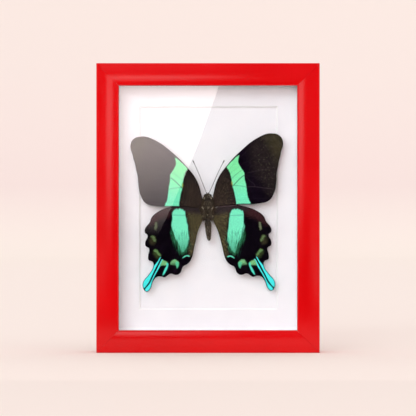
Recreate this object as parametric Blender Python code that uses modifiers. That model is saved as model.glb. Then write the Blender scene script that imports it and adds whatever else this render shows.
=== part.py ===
"""Framed butterfly specimen: a deep box frame with glass, a window mat and one spread swallowtail.

The frame stands upright on its bottom rail and its front faces -Y.  The origin is the middle of the
underside of the bottom rail, half-way through the depth of the rails.  Units are metres, +Z is up.
"""

from math import cos, pi, radians, sin

import bmesh
import bpy
from mathutils import Matrix, Vector

MM = 0.001
GAP = 0.3 * MM
WELD = 0.001 * MM

# Moulding of the frame: a plain square rail with a shallow rebate behind a thin lip.
FRAME_WIDTH = 157.6 * MM
FRAME_HEIGHT = 204.4 * MM
RAIL_FACE = 15.9 * MM
RAIL_DEPTH = 30.0 * MM
LIP_DEPTH = 4.0 * MM
REBATE = 2.6 * MM
OUTER_ROUND = 0.8 * MM
SIGHT_CHAMFER = 1.2 * MM
ROUND_STEPS = 4

# Layers inside the rebate, from the glass to the back panel.
GLASS_THICK = 2.0 * MM
SPACER_THICK = 2.0 * MM
SPACER_DEPTH = 12.0 * MM
MAT_THICK = 1.4 * MM
MAT_WINDOW_WIDTH = 96.0 * MM
MAT_WINDOW_HEIGHT = 142.2 * MM
MAT_WINDOW_X = 0.3 * MM
BOARD_THICK = 3.0 * MM
PANEL_THICK = 2.5 * MM

# Fixings on the back.
POINT_REACH = 10.0 * MM
POINT_WIDTH = 8.0 * MM
POINT_THICK = 0.4 * MM
POINT_X = 34.0 * MM
POINT_Z = 52.0 * MM
HANGER_WIDTH = 45.0 * MM
HANGER_HEIGHT = 9.0 * MM
HANGER_THICK = 0.8 * MM
HANGER_RISE = 1.2 * MM
HANGER_TAB = 7.0 * MM
HANGER_RAMP = 1.5 * MM
RAMP_SHIFT = 0.4
TOOTH_PITCH = 2.8 * MM
TOOTH_COUNT = 9
TOOTH_DEPTH = 2.6 * MM
CUTTER_REACH = 20.0 * MM
NAIL_RADIUS = 1.9 * MM
NAIL_THICK = 0.9 * MM
BUMPER_RADIUS = 4.5 * MM
BUMPER_THICK = 2.0 * MM
PAD_TAPER = 0.8
PAD_SIDES = 24

# Butterfly: its middle is the centre of the thorax, at the middle height of the frame.
SPECIMEN_X = -0.2 * MM
BODY_Y = -2.0 * MM
WING_THICK = 0.3 * MM
WING_RESOLUTION = 5
FOREWING_Y = -2.6 * MM
HINDWING_Y = -1.9 * MM
DIHEDRAL = radians(2.0)
SPECIMEN_TURN = radians(0.9)
FOREWING_RISE = {"left": -0.4 * MM, "right": 0.4 * MM}
HINDWING_RISE = {"left": 0.5 * MM, "right": -0.2 * MM}
THORAX_RADII = (3.4 * MM, 4.0 * MM, 7.2 * MM)
THORAX_Z = -0.5 * MM
HEAD_RADII = (2.6 * MM, 1.9 * MM, 1.7 * MM)
HEAD_Z = 8.7 * MM
HEAD_Y = -2.2 * MM
ABDOMEN_TOP_Z = -8.0 * MM
ABDOMEN_LEAN = radians(3.6)
BODY_SIDES = 16
BODY_RINGS = 10
BLOCK_WIDTH = 4.0 * MM
BLOCK_HEIGHT = 7.0 * MM
ANTENNA_RADIUS = 0.18 * MM
ANTENNA_SPREAD = {"left": 0.91, "right": 1.01}
ANTENNA_TILT = 0.25 * MM
CLUB_SWELLING = 2.0

# Half of each wing pair, in millimetres from the centre of the thorax: outwards, then upwards.
FOREWING_OUTLINE = [
    (3.8, 8.2),
    (7.2, 19.6),
    (14.4, 29.8),
    (24.6, 40.2),
    (36.0, 48.7),
    (45.8, 51.9),
    (52.0, 50.3),
    (54.3, 46.0),
    (52.4, 37.2),
    (49.6, 24.0),
    (48.0, 11.0),
    (43.8, 4.4),
    (36.0, 2.2),
    (22.5, 1.8),
    (3.8, 0.2),
]
FOREWING_CORNERS = (0, 14)
HINDWING_OUTLINE = [
    (3.8, -1.5),
    (9.0, 1.8),
    (18.0, 2.6),
    (26.4, 0.9),
    (34.8, -2.3),
    (40.0, -6.7),
    (41.2, -9.9),
    (44.6, -14.3),
    (44.8, -17.2),
    (42.9, -19.3),
    (44.7, -24.0),
    (44.5, -26.7),
    (42.0, -28.7),
    (42.7, -33.2),
    (42.5, -36.6),
    (39.5, -38.2),
    (39.4, -41.8),
    (42.6, -47.0),
    (46.6, -52.2),
    (46.8, -56.2),
    (44.2, -59.2),
    (41.4, -57.0),
    (39.6, -52.0),
    (36.6, -48.7),
    (33.4, -48.6),
    (31.2, -49.1),
    (29.4, -47.9),
    (26.8, -46.6),
    (23.0, -47.6),
    (20.2, -46.2),
    (18.2, -41.8),
    (14.8, -39.8),
    (12.6, -37.2),
    (9.6, -26.4),
    (7.0, -16.4),
    (3.8, -9.2),
]
HINDWING_CORNERS = (0, 35)
ANTENNA_ROUTE = [(1.0, 10.5), (2.7, 14.4), (4.8, 19.4), (7.0, 24.6), (9.3, 29.6), (11.4, 33.8)]
ABDOMEN_PROFILE = [
    (0.0, 0.0),
    (1.5, -0.5),
    (2.2, -2.0),
    (2.3, -4.0),
    (2.0, -7.0),
    (1.8, -10.0),
    (1.2, -13.2),
    (0.0, -15.2),
]

# Depths of the layers, from the front of the frame at -Y.
FRONT_Y = -RAIL_DEPTH / 2
BACK_Y = RAIL_DEPTH / 2
GLASS_FRONT = FRONT_Y + LIP_DEPTH + GAP
GLASS_BACK = GLASS_FRONT + GLASS_THICK
SPACER_FRONT = GLASS_BACK + GAP
SPACER_BACK = SPACER_FRONT + SPACER_DEPTH
MAT_FRONT = SPACER_BACK + GAP
MAT_BACK = MAT_FRONT + MAT_THICK
BOARD_FRONT = MAT_BACK + GAP
BOARD_BACK = BOARD_FRONT + BOARD_THICK
PANEL_FRONT = BOARD_BACK + GAP
PANEL_BACK = PANEL_FRONT + PANEL_THICK

OPENING_WIDTH = FRAME_WIDTH - 2 * RAIL_FACE
OPENING_HEIGHT = FRAME_HEIGHT - 2 * RAIL_FACE
SHEET_WIDTH = OPENING_WIDTH + 2 * (REBATE - GAP)
SHEET_HEIGHT = OPENING_HEIGHT + 2 * (REBATE - GAP)
CENTRE_Z = FRAME_HEIGHT / 2

# Finish: base colour, roughness, metallic.
FINISHES = {
    "red_lacquer": ((0.74, 0.006, 0.008), 0.35, 0.0),
    "glass": ((0.9, 0.95, 0.93), 0.02, 0.0),
    "spacer_board": ((0.86, 0.85, 0.84), 0.8, 0.0),
    "mat_board": ((0.88, 0.86, 0.87), 0.85, 0.0),
    "mount_board": ((0.9, 0.88, 0.88), 0.85, 0.0),
    "block_foam": ((0.8, 0.79, 0.76), 0.9, 0.0),
    "wing_membrane": ((0.02, 0.016, 0.014), 0.6, 0.0),
    "body_hair": ((0.018, 0.014, 0.01), 0.8, 0.0),
    "antenna": ((0.02, 0.014, 0.012), 0.5, 0.0),
    "hardboard": ((0.2, 0.11, 0.055), 0.75, 0.0),
    "zinc_steel": ((0.6, 0.6, 0.58), 0.35, 1.0),
    "bumper_felt": ((0.12, 0.11, 0.1), 0.95, 0.0),
}


def clear_scene():
    for old in list(bpy.data.objects):
        bpy.data.objects.remove(old)


def new_collection(name):
    collection = bpy.data.collections.new(name)
    bpy.context.scene.collection.children.link(collection)
    return collection


def new_material(name):
    colour, roughness, metallic = FINISHES[name]
    material = bpy.data.materials.new(name)
    material.use_nodes = True
    shader = material.node_tree.nodes["Principled BSDF"]
    shader.inputs["Base Color"].default_value = (*colour, 1.0)
    shader.inputs["Roughness"].default_value = roughness
    shader.inputs["Metallic"].default_value = metallic
    return material


def add_object(name, data, finish, collection):
    """Link a new object that has its finish as its own material."""
    data.materials.append(new_material(finish))
    obj = bpy.data.objects.new(name, data)
    collection.objects.link(obj)
    return obj


def mesh_from(work, name):
    mesh = bpy.data.meshes.new(name)
    bmesh.ops.recalc_face_normals(work, faces=work.faces)
    work.to_mesh(mesh)
    work.free()
    return mesh


def box(name, low, high, finish, collection):
    """A block between two corners."""
    size = Vector(high) - Vector(low)
    middle = (Vector(high) + Vector(low)) / 2
    work = bmesh.new()
    bmesh.ops.create_cube(work, size=1.0)
    bmesh.ops.transform(work, matrix=Matrix.Diagonal((*size, 1.0)), verts=work.verts)
    obj = add_object(name, mesh_from(work, name), finish, collection)
    obj.location = middle
    return obj


def sheet(name, front, back, finish, collection):
    """A full sheet in the rebate, between two depths."""
    low = (-SHEET_WIDTH / 2, front, CENTRE_Z - SHEET_HEIGHT / 2)
    high = (SHEET_WIDTH / 2, back, CENTRE_Z + SHEET_HEIGHT / 2)
    return box(name, low, high, finish, collection)


def flat_curve(name, points, thickness, corners=None, resolution=1):
    """A filled outline with a thickness.  With corners given, the other points are smooth."""
    curve = bpy.data.curves.new(name, "CURVE")
    curve.dimensions = "2D"
    curve.fill_mode = "BOTH"
    curve.extrude = thickness / 2
    curve.resolution_u = resolution
    spline = curve.splines.new("POLY" if corners is None else "BEZIER")
    spline.use_cyclic_u = True
    if corners is None:
        spline.points.add(len(points) - 1)
        for point, (x, y) in zip(spline.points, points):
            point.co = (x, y, 0.0, 1.0)
        return curve
    spline.bezier_points.add(len(points) - 1)
    for index, (x, y) in enumerate(points):
        point = spline.bezier_points[index]
        handle = "VECTOR" if index in corners else "AUTO"
        point.co = (x, y, 0.0)
        point.handle_left_type = handle
        point.handle_right_type = handle
    return curve


def curve_bmesh(curve):
    """The welded mesh of a curve, as a bmesh, and the curve is removed."""
    holder = bpy.data.objects.new(curve.name, curve)
    bpy.context.scene.collection.objects.link(holder)
    bpy.context.view_layer.update()
    evaluated = holder.evaluated_get(bpy.context.evaluated_depsgraph_get())
    mesh = bpy.data.meshes.new_from_object(evaluated)
    work = bmesh.new()
    work.from_mesh(mesh)
    bmesh.ops.remove_doubles(work, verts=work.verts, dist=WELD)
    bpy.data.objects.remove(holder)
    bpy.data.curves.remove(curve)
    bpy.data.meshes.remove(mesh)
    return work


def arc(centre, radius, start, end, steps):
    """Points on an arc, from one angle to another."""
    angles = [start + (end - start) * i / steps for i in range(steps + 1)]
    return [(centre[0] + radius * cos(a), centre[1] + radius * sin(a)) for a in angles]


def rail_section():
    """The moulding's section: distance in from the outer side, then depth."""
    round_front = arc((OUTER_ROUND, FRONT_Y + OUTER_ROUND), OUTER_ROUND, -pi, -pi / 2, ROUND_STEPS)
    round_back = arc((OUTER_ROUND, BACK_Y - OUTER_ROUND), OUTER_ROUND, pi / 2, pi, ROUND_STEPS)
    sight_edge = [(RAIL_FACE - SIGHT_CHAMFER, FRONT_Y), (RAIL_FACE, FRONT_Y + SIGHT_CHAMFER)]
    rebate = [
        (RAIL_FACE, FRONT_Y + LIP_DEPTH),
        (RAIL_FACE - REBATE, FRONT_Y + LIP_DEPTH),
        (RAIL_FACE - REBATE, BACK_Y),
    ]
    return round_front + sight_edge + rebate + round_back


def cut_mitre(work, length, end):
    """Cut one end of a rail at 45 degrees, leaving half the gap at the joint."""
    place = (-GAP / 2 ** 0.5, 0.0, end * length / 2)
    cut = bmesh.ops.bisect_plane(
        work,
        geom=work.verts[:] + work.edges[:] + work.faces[:],
        dist=WELD,
        plane_co=place,
        plane_no=(1.0, 0.0, end * 1.0),
        clear_outer=True,
    )
    edges = [e for e in cut["geom_cut"] if isinstance(e, bmesh.types.BMEdge)]
    bmesh.ops.edgeloop_fill(work, edges=edges)


def make_rail(name, length, turn, place, collection):
    """One mitred rail.  Unturned it is the left rail, with its length along Z."""
    work = curve_bmesh(flat_curve(name, rail_section(), length + 2 * RAIL_FACE))
    for end in (-1, 1):
        cut_mitre(work, length, end)
    obj = add_object(name, mesh_from(work, name), "red_lacquer", collection)
    obj.location = place
    obj.rotation_euler = (0.0, turn, 0.0)
    return obj


def make_rails(collection):
    half = FRAME_WIDTH / 2
    make_rail("rail_left", FRAME_HEIGHT, 0.0, (-half, 0.0, CENTRE_Z), collection)
    make_rail("rail_top", FRAME_WIDTH, pi / 2, (0.0, 0.0, FRAME_HEIGHT), collection)
    make_rail("rail_right", FRAME_HEIGHT, pi, (half, 0.0, CENTRE_Z), collection)
    make_rail("rail_bottom", FRAME_WIDTH, -pi / 2, (0.0, 0.0, 0.0), collection)


def make_spacers(collection):
    """Strips on all four sides that hold the mat away from the glass."""
    half_width = OPENING_WIDTH / 2 + GAP
    half_height = OPENING_HEIGHT / 2 + GAP
    for side, sign in (("left", -1), ("right", 1)):
        inner, outer = sign * half_width, sign * (half_width + SPACER_THICK)
        low = (min(inner, outer), SPACER_FRONT, CENTRE_Z - half_height + GAP)
        high = (max(inner, outer), SPACER_BACK, CENTRE_Z + half_height - GAP)
        box(f"spacer_{side}", low, high, "spacer_board", collection)
    for side, sign in (("bottom", -1), ("top", 1)):
        inner, outer = sign * half_height, sign * (half_height + SPACER_THICK)
        low = (-half_width - SPACER_THICK, SPACER_FRONT, CENTRE_Z + min(inner, outer))
        high = (half_width + SPACER_THICK, SPACER_BACK, CENTRE_Z + max(inner, outer))
        box(f"spacer_{side}", low, high, "spacer_board", collection)


def window_cutter(collection):
    """A block whose front is wider by the mat's thickness all round, for a 45 degree bevel."""
    work = bmesh.new()
    bmesh.ops.create_cube(work, size=1.0)
    for vert in work.verts:
        depth = MAT_BACK + MAT_THICK if vert.co.y > 0 else MAT_FRONT - MAT_THICK
        shrink = depth - MAT_BACK
        vert.co.x *= MAT_WINDOW_WIDTH - 2 * shrink
        vert.co.z *= MAT_WINDOW_HEIGHT - 2 * shrink
        vert.co.y = depth
    cutter = bpy.data.objects.new("mat_window_cutter", mesh_from(work, "mat_window_cutter"))
    cutter.location = (MAT_WINDOW_X, 0.0, CENTRE_Z)
    cutter.hide_render = True
    cutter.display_type = "WIRE"
    collection.objects.link(cutter)
    return cutter


def cut_with(obj, cutter):
    boolean = obj.modifiers.new("cut", "BOOLEAN")
    boolean.operation = "DIFFERENCE"
    boolean.solver = "EXACT"
    boolean.object = cutter


def make_layers(collection, cutters):
    sheet("glass", GLASS_FRONT, GLASS_BACK, "glass", collection)
    mat = sheet("window_mat", MAT_FRONT, MAT_BACK, "mat_board", collection)
    cut_with(mat, window_cutter(cutters))
    sheet("mount_board", BOARD_FRONT, BOARD_BACK, "mount_board", collection)
    sheet("back_panel", PANEL_FRONT, PANEL_BACK, "hardboard", collection)


def make_point(name, place, turn, collection):
    """A flat steel tab that reaches inwards over the back panel."""
    half, reach = POINT_WIDTH / 2, POINT_REACH
    tip = arc((reach - half, 0.0), half, -pi / 2, pi / 2, 2 * ROUND_STEPS)
    outline = [(0.0, half), (0.0, -half)] + tip
    obj = add_object(name, flat_curve(name, outline, POINT_THICK), "zinc_steel", collection)
    obj.location = place
    obj.rotation_euler = (pi / 2, turn, 0.0)


def make_points(collection):
    """Two tabs on each side, starting just clear of the rebate's wall."""
    depth = PANEL_BACK + GAP + POINT_THICK / 2
    wall_x = OPENING_WIDTH / 2 + REBATE - GAP
    wall_z = OPENING_HEIGHT / 2 + REBATE - GAP
    for row, z in (("low", -POINT_Z), ("high", POINT_Z)):
        make_point(f"point_left_{row}", (-wall_x, depth, CENTRE_Z + z), 0.0, collection)
        make_point(f"point_right_{row}", (wall_x, depth, CENTRE_Z + z), pi, collection)
    for column, x in (("a", -POINT_X), ("b", POINT_X)):
        make_point(f"point_bottom_{column}", (x, depth, CENTRE_Z - wall_z), -pi / 2, collection)
        make_point(f"point_top_{column}", (x, depth, CENTRE_Z + wall_z), pi / 2, collection)


def hanger_profile():
    """The hanger seen from above: flat tabs at the ends and a raised middle."""
    end = HANGER_WIDTH / 2
    tab = end - HANGER_TAB
    top = tab - HANGER_RAMP
    near_tab = tab - HANGER_THICK * RAMP_SHIFT
    near_top = top - HANGER_THICK * RAMP_SHIFT
    near = [(near_top, HANGER_RISE), (near_tab, 0.0), (end, 0.0)]
    far = [(end, HANGER_THICK), (tab, HANGER_THICK), (top, HANGER_RISE + HANGER_THICK)]
    right = near + far
    return right + [(-x, y) for x, y in reversed(right)]


def tooth_cutter(collection, place):
    """A strip with a zigzag top that leaves the teeth along the lower edge."""
    start = -TOOTH_COUNT * TOOTH_PITCH / 2
    zigzag = []
    for tooth in range(TOOTH_COUNT):
        left = start + tooth * TOOTH_PITCH
        zigzag.append((left, 0.0))
        zigzag.append((left + TOOTH_PITCH / 2, TOOTH_DEPTH))
    zigzag.append((-start, 0.0))
    outline = zigzag + [(-start, -TOOTH_DEPTH), (start, -TOOTH_DEPTH)]
    work = curve_bmesh(flat_curve("tooth_cutter", outline, CUTTER_REACH))
    cutter = bpy.data.objects.new("tooth_cutter", mesh_from(work, "tooth_cutter"))
    cutter.location = place
    cutter.rotation_euler = (pi / 2, 0.0, 0.0)
    cutter.hide_render = True
    cutter.display_type = "WIRE"
    collection.objects.link(cutter)
    return cutter


def make_hanger(collection, cutters):
    """Toothed hanger on the back of the top rail, with a nail head on each tab."""
    middle_z = FRAME_HEIGHT - RAIL_FACE / 2
    seat = BACK_Y + GAP
    work = curve_bmesh(flat_curve("hanger", hanger_profile(), HANGER_HEIGHT))
    hanger = add_object("hanger", mesh_from(work, "hanger"), "zinc_steel", collection)
    hanger.location = (0.0, seat, middle_z)
    lower_edge = (0.0, seat, middle_z - HANGER_HEIGHT / 2 - GAP)
    cut_with(hanger, tooth_cutter(cutters, lower_edge))
    nail_x = HANGER_WIDTH / 2 - HANGER_TAB / 2
    for side, sign in (("left", -1), ("right", 1)):
        place = (sign * nail_x, seat + HANGER_THICK + GAP, middle_z)
        button(f"hanger_nail_{side}", place, NAIL_RADIUS, NAIL_THICK, "zinc_steel", collection)


def button(name, place, radius, thickness, finish, collection):
    """A short round pad that stands out backwards from its place."""
    work = bmesh.new()
    bmesh.ops.create_cone(
        work,
        cap_ends=True,
        segments=PAD_SIDES,
        radius1=radius,
        radius2=radius * PAD_TAPER,
        depth=thickness,
    )
    bmesh.ops.transform(work, matrix=Matrix.Rotation(-pi / 2, 4, "X"), verts=work.verts)
    obj = add_object(name, mesh_from(work, name), finish, collection)
    obj.location = Vector(place) + Vector((0.0, thickness / 2, 0.0))


def make_bumpers(collection):
    """Soft pads at the lower corners that keep the frame off the wall."""
    x = FRAME_WIDTH / 2 - RAIL_FACE / 2
    for side, sign in (("left", -1), ("right", 1)):
        place = (sign * x, BACK_Y + GAP, RAIL_FACE / 2)
        button(f"bumper_{side}", place, BUMPER_RADIUS, BUMPER_THICK, "bumper_felt", collection)


def make_wing(name, outline, corners, side, depth, rise, collection):
    """One wing as a thin plate, turned with the specimen and tipped forwards from the body."""
    sign = -1 if side == "left" else 1
    points = [(sign * x * MM, z * MM) for x, z in outline]
    curve = flat_curve(name, points, WING_THICK, corners, WING_RESOLUTION)
    obj = add_object(name, curve, "wing_membrane", collection)
    obj.location = (SPECIMEN_X, depth, CENTRE_Z + rise)
    obj.rotation_euler = (pi / 2, -SPECIMEN_TURN, -sign * DIHEDRAL)


def make_wings(collection):
    for side in ("left", "right"):
        make_wing(
            f"forewing_{side}",
            FOREWING_OUTLINE,
            FOREWING_CORNERS,
            side,
            FOREWING_Y,
            FOREWING_RISE[side],
            collection,
        )
        make_wing(
            f"hindwing_{side}",
            HINDWING_OUTLINE,
            HINDWING_CORNERS,
            side,
            HINDWING_Y,
            HINDWING_RISE[side],
            collection,
        )


def ellipsoid(name, place, radii, finish, collection):
    work = bmesh.new()
    bmesh.ops.create_uvsphere(work, u_segments=BODY_SIDES, v_segments=BODY_RINGS, radius=1.0)
    bmesh.ops.transform(work, matrix=Matrix.Diagonal((*radii, 1.0)), verts=work.verts)
    obj = add_object(name, mesh_from(work, name), finish, collection)
    obj.location = place
    obj.data.shade_smooth()
    return obj


def make_abdomen(collection):
    """The tapered hind body, turned about its own length and leaning slightly to one side."""
    work = bmesh.new()
    verts = [work.verts.new((x * MM, 0.0, z * MM)) for x, z in ABDOMEN_PROFILE]
    for first, second in zip(verts, verts[1:]):
        work.edges.new((first, second))
    mesh = bpy.data.meshes.new("abdomen")
    work.to_mesh(mesh)
    work.free()
    obj = add_object("abdomen", mesh, "body_hair", collection)
    obj.location = (SPECIMEN_X, BODY_Y, CENTRE_Z + ABDOMEN_TOP_Z)
    obj.rotation_euler = (0.0, -ABDOMEN_LEAN, 0.0)
    screw = obj.modifiers.new("turn", "SCREW")
    screw.steps = BODY_SIDES
    screw.render_steps = BODY_SIDES
    screw.use_merge_vertices = True
    screw.merge_threshold = 10 * WELD


def make_antenna(side, collection):
    """A thin feeler that thickens to a club at its tip."""
    outwards = -ANTENNA_SPREAD[side] if side == "left" else ANTENNA_SPREAD[side]
    name = f"antenna_{side}"
    curve = bpy.data.curves.new(name, "CURVE")
    curve.dimensions = "3D"
    curve.bevel_depth = ANTENNA_RADIUS
    curve.bevel_resolution = 2
    curve.use_fill_caps = True
    spline = curve.splines.new("POLY")
    spline.points.add(len(ANTENNA_ROUTE) - 1)
    for index, (x, z) in enumerate(ANTENNA_ROUTE):
        forward = -ANTENNA_TILT * index
        spline.points[index].co = (outwards * x * MM, forward, z * MM, 1.0)
    spline.points[-1].radius = CLUB_SWELLING
    obj = add_object(name, curve, "antenna", collection)
    obj.location = (SPECIMEN_X, HEAD_Y, CENTRE_Z)


def make_body(collection):
    """Head, thorax and abdomen in a row, the antennae, and the block that carries them."""
    thorax = (SPECIMEN_X, BODY_Y, CENTRE_Z + THORAX_Z)
    ellipsoid("thorax", thorax, THORAX_RADII, "body_hair", collection)
    head = (SPECIMEN_X, HEAD_Y, CENTRE_Z + HEAD_Z)
    ellipsoid("head", head, HEAD_RADII, "body_hair", collection)
    make_abdomen(collection)
    for side in ("left", "right"):
        make_antenna(side, collection)
    block_front = BODY_Y + THORAX_RADII[1] + GAP
    half_width, half_height = BLOCK_WIDTH / 2, BLOCK_HEIGHT / 2
    low = (SPECIMEN_X - half_width, block_front, CENTRE_Z + THORAX_Z - half_height)
    high = (SPECIMEN_X + half_width, BOARD_FRONT - GAP, CENTRE_Z + THORAX_Z + half_height)
    box("mounting_block", low, high, "block_foam", collection)


def main():
    clear_scene()
    parts = new_collection("framed_butterfly_specimen")
    cutters = new_collection("cutters")
    make_rails(parts)
    make_layers(parts, cutters)
    make_spacers(parts)
    make_points(parts)
    make_hanger(parts, cutters)
    make_bumpers(parts)
    make_wings(parts)
    make_body(parts)


main()
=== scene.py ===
"""Looks of the framed butterfly specimen: lacquered box frame, glass, mat board and one set swallowtail.

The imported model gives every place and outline.  Each sub-assembly is a class that models its pieces
with bmesh operators, dresses them in a finish and sets them to ride on the frame's one body.
"""

import logging
from collections.abc import Callable
from dataclasses import dataclass, field
from enum import Enum
from functools import partial
from math import cos, pi, radians, sin, sqrt
from typing import Any

import bmesh
import bpy
import numpy as np
from bmesh.types import BMEdge, BMesh, BMVert
from bpy.types import ID, Material, NodeSocket, NodeTree, Object
from mathutils import Matrix, Vector, noise

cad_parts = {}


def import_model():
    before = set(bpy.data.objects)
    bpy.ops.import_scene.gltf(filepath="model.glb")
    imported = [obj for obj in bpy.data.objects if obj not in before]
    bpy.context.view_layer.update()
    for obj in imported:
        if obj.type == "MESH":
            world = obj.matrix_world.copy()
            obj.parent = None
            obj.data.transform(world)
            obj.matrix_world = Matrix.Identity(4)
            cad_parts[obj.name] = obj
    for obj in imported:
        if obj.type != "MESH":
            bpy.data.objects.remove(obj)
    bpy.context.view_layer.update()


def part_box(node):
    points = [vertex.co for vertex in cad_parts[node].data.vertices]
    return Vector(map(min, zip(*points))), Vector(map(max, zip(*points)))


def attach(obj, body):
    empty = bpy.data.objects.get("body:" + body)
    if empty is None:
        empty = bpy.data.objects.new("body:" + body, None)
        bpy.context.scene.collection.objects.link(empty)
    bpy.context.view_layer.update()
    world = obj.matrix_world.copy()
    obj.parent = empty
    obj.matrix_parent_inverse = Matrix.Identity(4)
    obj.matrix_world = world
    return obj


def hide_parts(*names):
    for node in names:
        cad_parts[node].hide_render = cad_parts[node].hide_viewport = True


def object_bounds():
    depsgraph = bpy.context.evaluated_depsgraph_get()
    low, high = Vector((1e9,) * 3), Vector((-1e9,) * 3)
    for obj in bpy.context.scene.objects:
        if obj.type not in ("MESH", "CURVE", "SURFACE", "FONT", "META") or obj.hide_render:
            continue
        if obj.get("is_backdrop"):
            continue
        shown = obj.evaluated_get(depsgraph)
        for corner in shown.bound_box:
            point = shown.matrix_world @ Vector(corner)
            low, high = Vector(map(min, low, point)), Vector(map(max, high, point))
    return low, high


LOG = logging.getLogger("framed_butterfly_specimen")
MM = 0.001
WELD = 0.001 * MM
BODY = "root"
# The noise texture seldom leaves this band.
USUAL = {"From Min": 0.3, "From Max": 0.7}
DOWN = np.array([0.0, 0.0, -1.0])

Point = tuple[float, float]
Route = tuple[Point, ...]
Stops = tuple[tuple[float, str], ...]
Adder = Callable[..., NodeSocket]


# --------------------------------------------------------------------------------------------------
# Colours, nodes and pieces
# --------------------------------------------------------------------------------------------------


def linear(hex_colour: str) -> tuple[float, float, float, float]:
    """Turn an sRGB hex colour into the linear colour that shaders take.

    Args:
        hex_colour: Six hex digits after a hash sign.

    Returns:
        Linear red, green and blue, and an alpha of one.
    """
    parts = [int(hex_colour[i : i + 2], 16) / 255 for i in (1, 3, 5)]
    bent = [c / 12.92 if c <= 0.04045 else ((c + 0.055) / 1.055) ** 2.4 for c in parts]
    return (bent[0], bent[1], bent[2], 1.0)


def band(way: str, ends: Point) -> dict[str, float]:
    """Name the two ends of a map range's band, way being From or To."""
    return {f"{way} Min": ends[0], f"{way} Max": ends[1]}


def add_node(
    tree: NodeTree, kind: str, inputs: dict | None = None, out: str | int = 0, **settings: Any
) -> NodeSocket | None:
    """Add one node, with its settings, values and links.

    Args:
        tree: The node tree that gets the node.
        kind: The node's type after its prefix, such as Math.
        inputs: Input names or numbers, each with a value or with the output that feeds it.
        out: The output that is wanted.
        settings: Properties of the node; stops gives a colour ramp's places and hex colours.

    Returns:
        That output of the new node, or None for a node without one.
    """
    node = tree.nodes.new("ShaderNode" + kind)
    stops = settings.pop("stops", None)
    for name, value in settings.items():
        setattr(node, name, value)
    if stops:
        ramp = node.color_ramp
        while len(ramp.elements) < len(stops):
            ramp.elements.new(1.0)
        for element, (place, colour) in zip(ramp.elements, stops):
            element.position = place
            element.color = linear(colour)
    for name, value in (inputs or {}).items():
        if isinstance(value, NodeSocket):
            tree.links.new(value, node.inputs[name])
        else:
            node.inputs[name].default_value = value
    return node.outputs[out] if node.outputs else None


def new_object(work: BMesh, name: str, materials: list[Material]) -> Object:
    """Turn a finished bmesh, which is freed, into an object at the origin.

    Args:
        work: The shape, in place.
        name: The object's name.
        materials: Its materials, in the order of the faces' indices.

    Returns:
        The new object.
    """
    mesh = bpy.data.meshes.new(name)
    work.to_mesh(mesh)
    work.free()
    for material in materials:
        mesh.materials.append(material)
    made = bpy.data.objects.new(name, mesh)
    bpy.context.scene.collection.objects.link(made)
    return made


def add_piece(
    work: BMesh,
    name: str,
    materials: list[Material],
    replaces: tuple[str, ...] = (),
    smooth_angle: float | None = None,
) -> Object:
    """Turn a finished bmesh into a piece that rides on the frame.

    Args:
        work: The shape, in place; it is freed.
        name: The piece's name.
        materials: Its materials, in the order of the faces' indices.
        replaces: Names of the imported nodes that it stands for.
        smooth_angle: Edges sharper than this stay sharp; None keeps it flat shaded.

    Returns:
        The new object, at the origin.
    """
    piece = new_object(work, name, materials)
    if smooth_angle is not None:
        piece.data.shade_smooth()
        piece.data.set_sharp_from_angle(angle=smooth_angle)
    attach(piece, BODY)
    if replaces:
        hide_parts(*replaces)
    LOG.info("%s: %d faces", name, len(piece.data.polygons))
    return piece


def dress_node(name: str, material: Material) -> None:
    """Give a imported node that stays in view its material.

    Args:
        name: The node's name.
        material: What it is dressed in.
    """
    node = bpy.data.objects[name]
    node.data.materials.clear()
    node.data.materials.append(material)
    LOG.info("%s: kept, now %s", name, material.name)


def lay_out(work: BMesh, *steps: Matrix) -> None:
    """Transform a whole shape by the product of some matrices.

    Args:
        work: The shape.
        steps: The matrices, the last of which acts first.
    """
    matrix = Matrix.Identity(4)
    for step in steps:
        matrix = matrix @ step
    bmesh.ops.transform(work, matrix=matrix, verts=work.verts)


def sized(size: Any) -> Matrix:
    """Give the matrix that stretches a shape by a size along X, Y and Z."""
    return Matrix.Diagonal((*size, 1.0))


def middle_and_half(node: str) -> tuple[Vector, Vector]:
    """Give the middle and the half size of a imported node's box.

    Args:
        node: The node's name.

    Returns:
        Both vectors, in metres.
    """
    low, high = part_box(node)
    return (low + high) / 2, (high - low) / 2


def smoothstep(value: np.ndarray, low: float, high: float) -> np.ndarray:
    """Ease values from 0 at low to 1 at high."""
    share = np.clip((value - low) / (high - low), 0.0, 1.0)
    return share * share * (3 - 2 * share)


# --------------------------------------------------------------------------------------------------
# Finishes
# --------------------------------------------------------------------------------------------------


@dataclass(frozen=True)
class Finish:
    """One real finish, which builds its own material."""

    name: str = "finish"

    def start(self) -> tuple[Adder, NodeSocket]:
        """Make an empty material tree.

        Returns:
            What adds a node to the tree, and the object coordinates in metres.
        """
        material = bpy.data.materials.new(self.name)
        material.use_nodes = True
        material.node_tree.nodes.clear()
        add = partial(add_node, material.node_tree)
        return add, add("TexCoord", out="Object")

    def close(self, add: Adder, shader: NodeSocket) -> Material:
        """Link the last shader to the output and give the finished material."""
        add("OutputMaterial", {"Surface": shader})
        return bpy.data.materials[self.name]

    def surface(
        self,
        add: Adder,
        tone: NodeSocket,
        stops: Stops,
        relief: tuple[NodeSocket, float, float],
        inputs: dict,
        **bump: Any,
    ) -> Material:
        """Finish a material whose colour follows one texture and whose relief follows another.

        Args:
            add: Adds a node to the material's tree.
            tone: The texture that picks the colour.
            stops: The places and hex colours that it picks from.
            relief: The texture that raises the surface, its strength and its height in metres.
            inputs: The shader's other inputs.
            bump: Settings of the relief.

        Returns:
            The finished material.
        """
        colour = add("ValToRGB", {"Fac": tone}, stops=stops)
        height, strength, distance = relief
        normal = add("Bump", {"Height": height, "Strength": strength, "Distance": distance}, **bump)
        return self.close(add, add("BsdfPrincipled", {"Base Color": colour, "Normal": normal, **inputs}))

    def build(self) -> Material:
        """Build the material."""
        raise NotImplementedError


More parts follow.
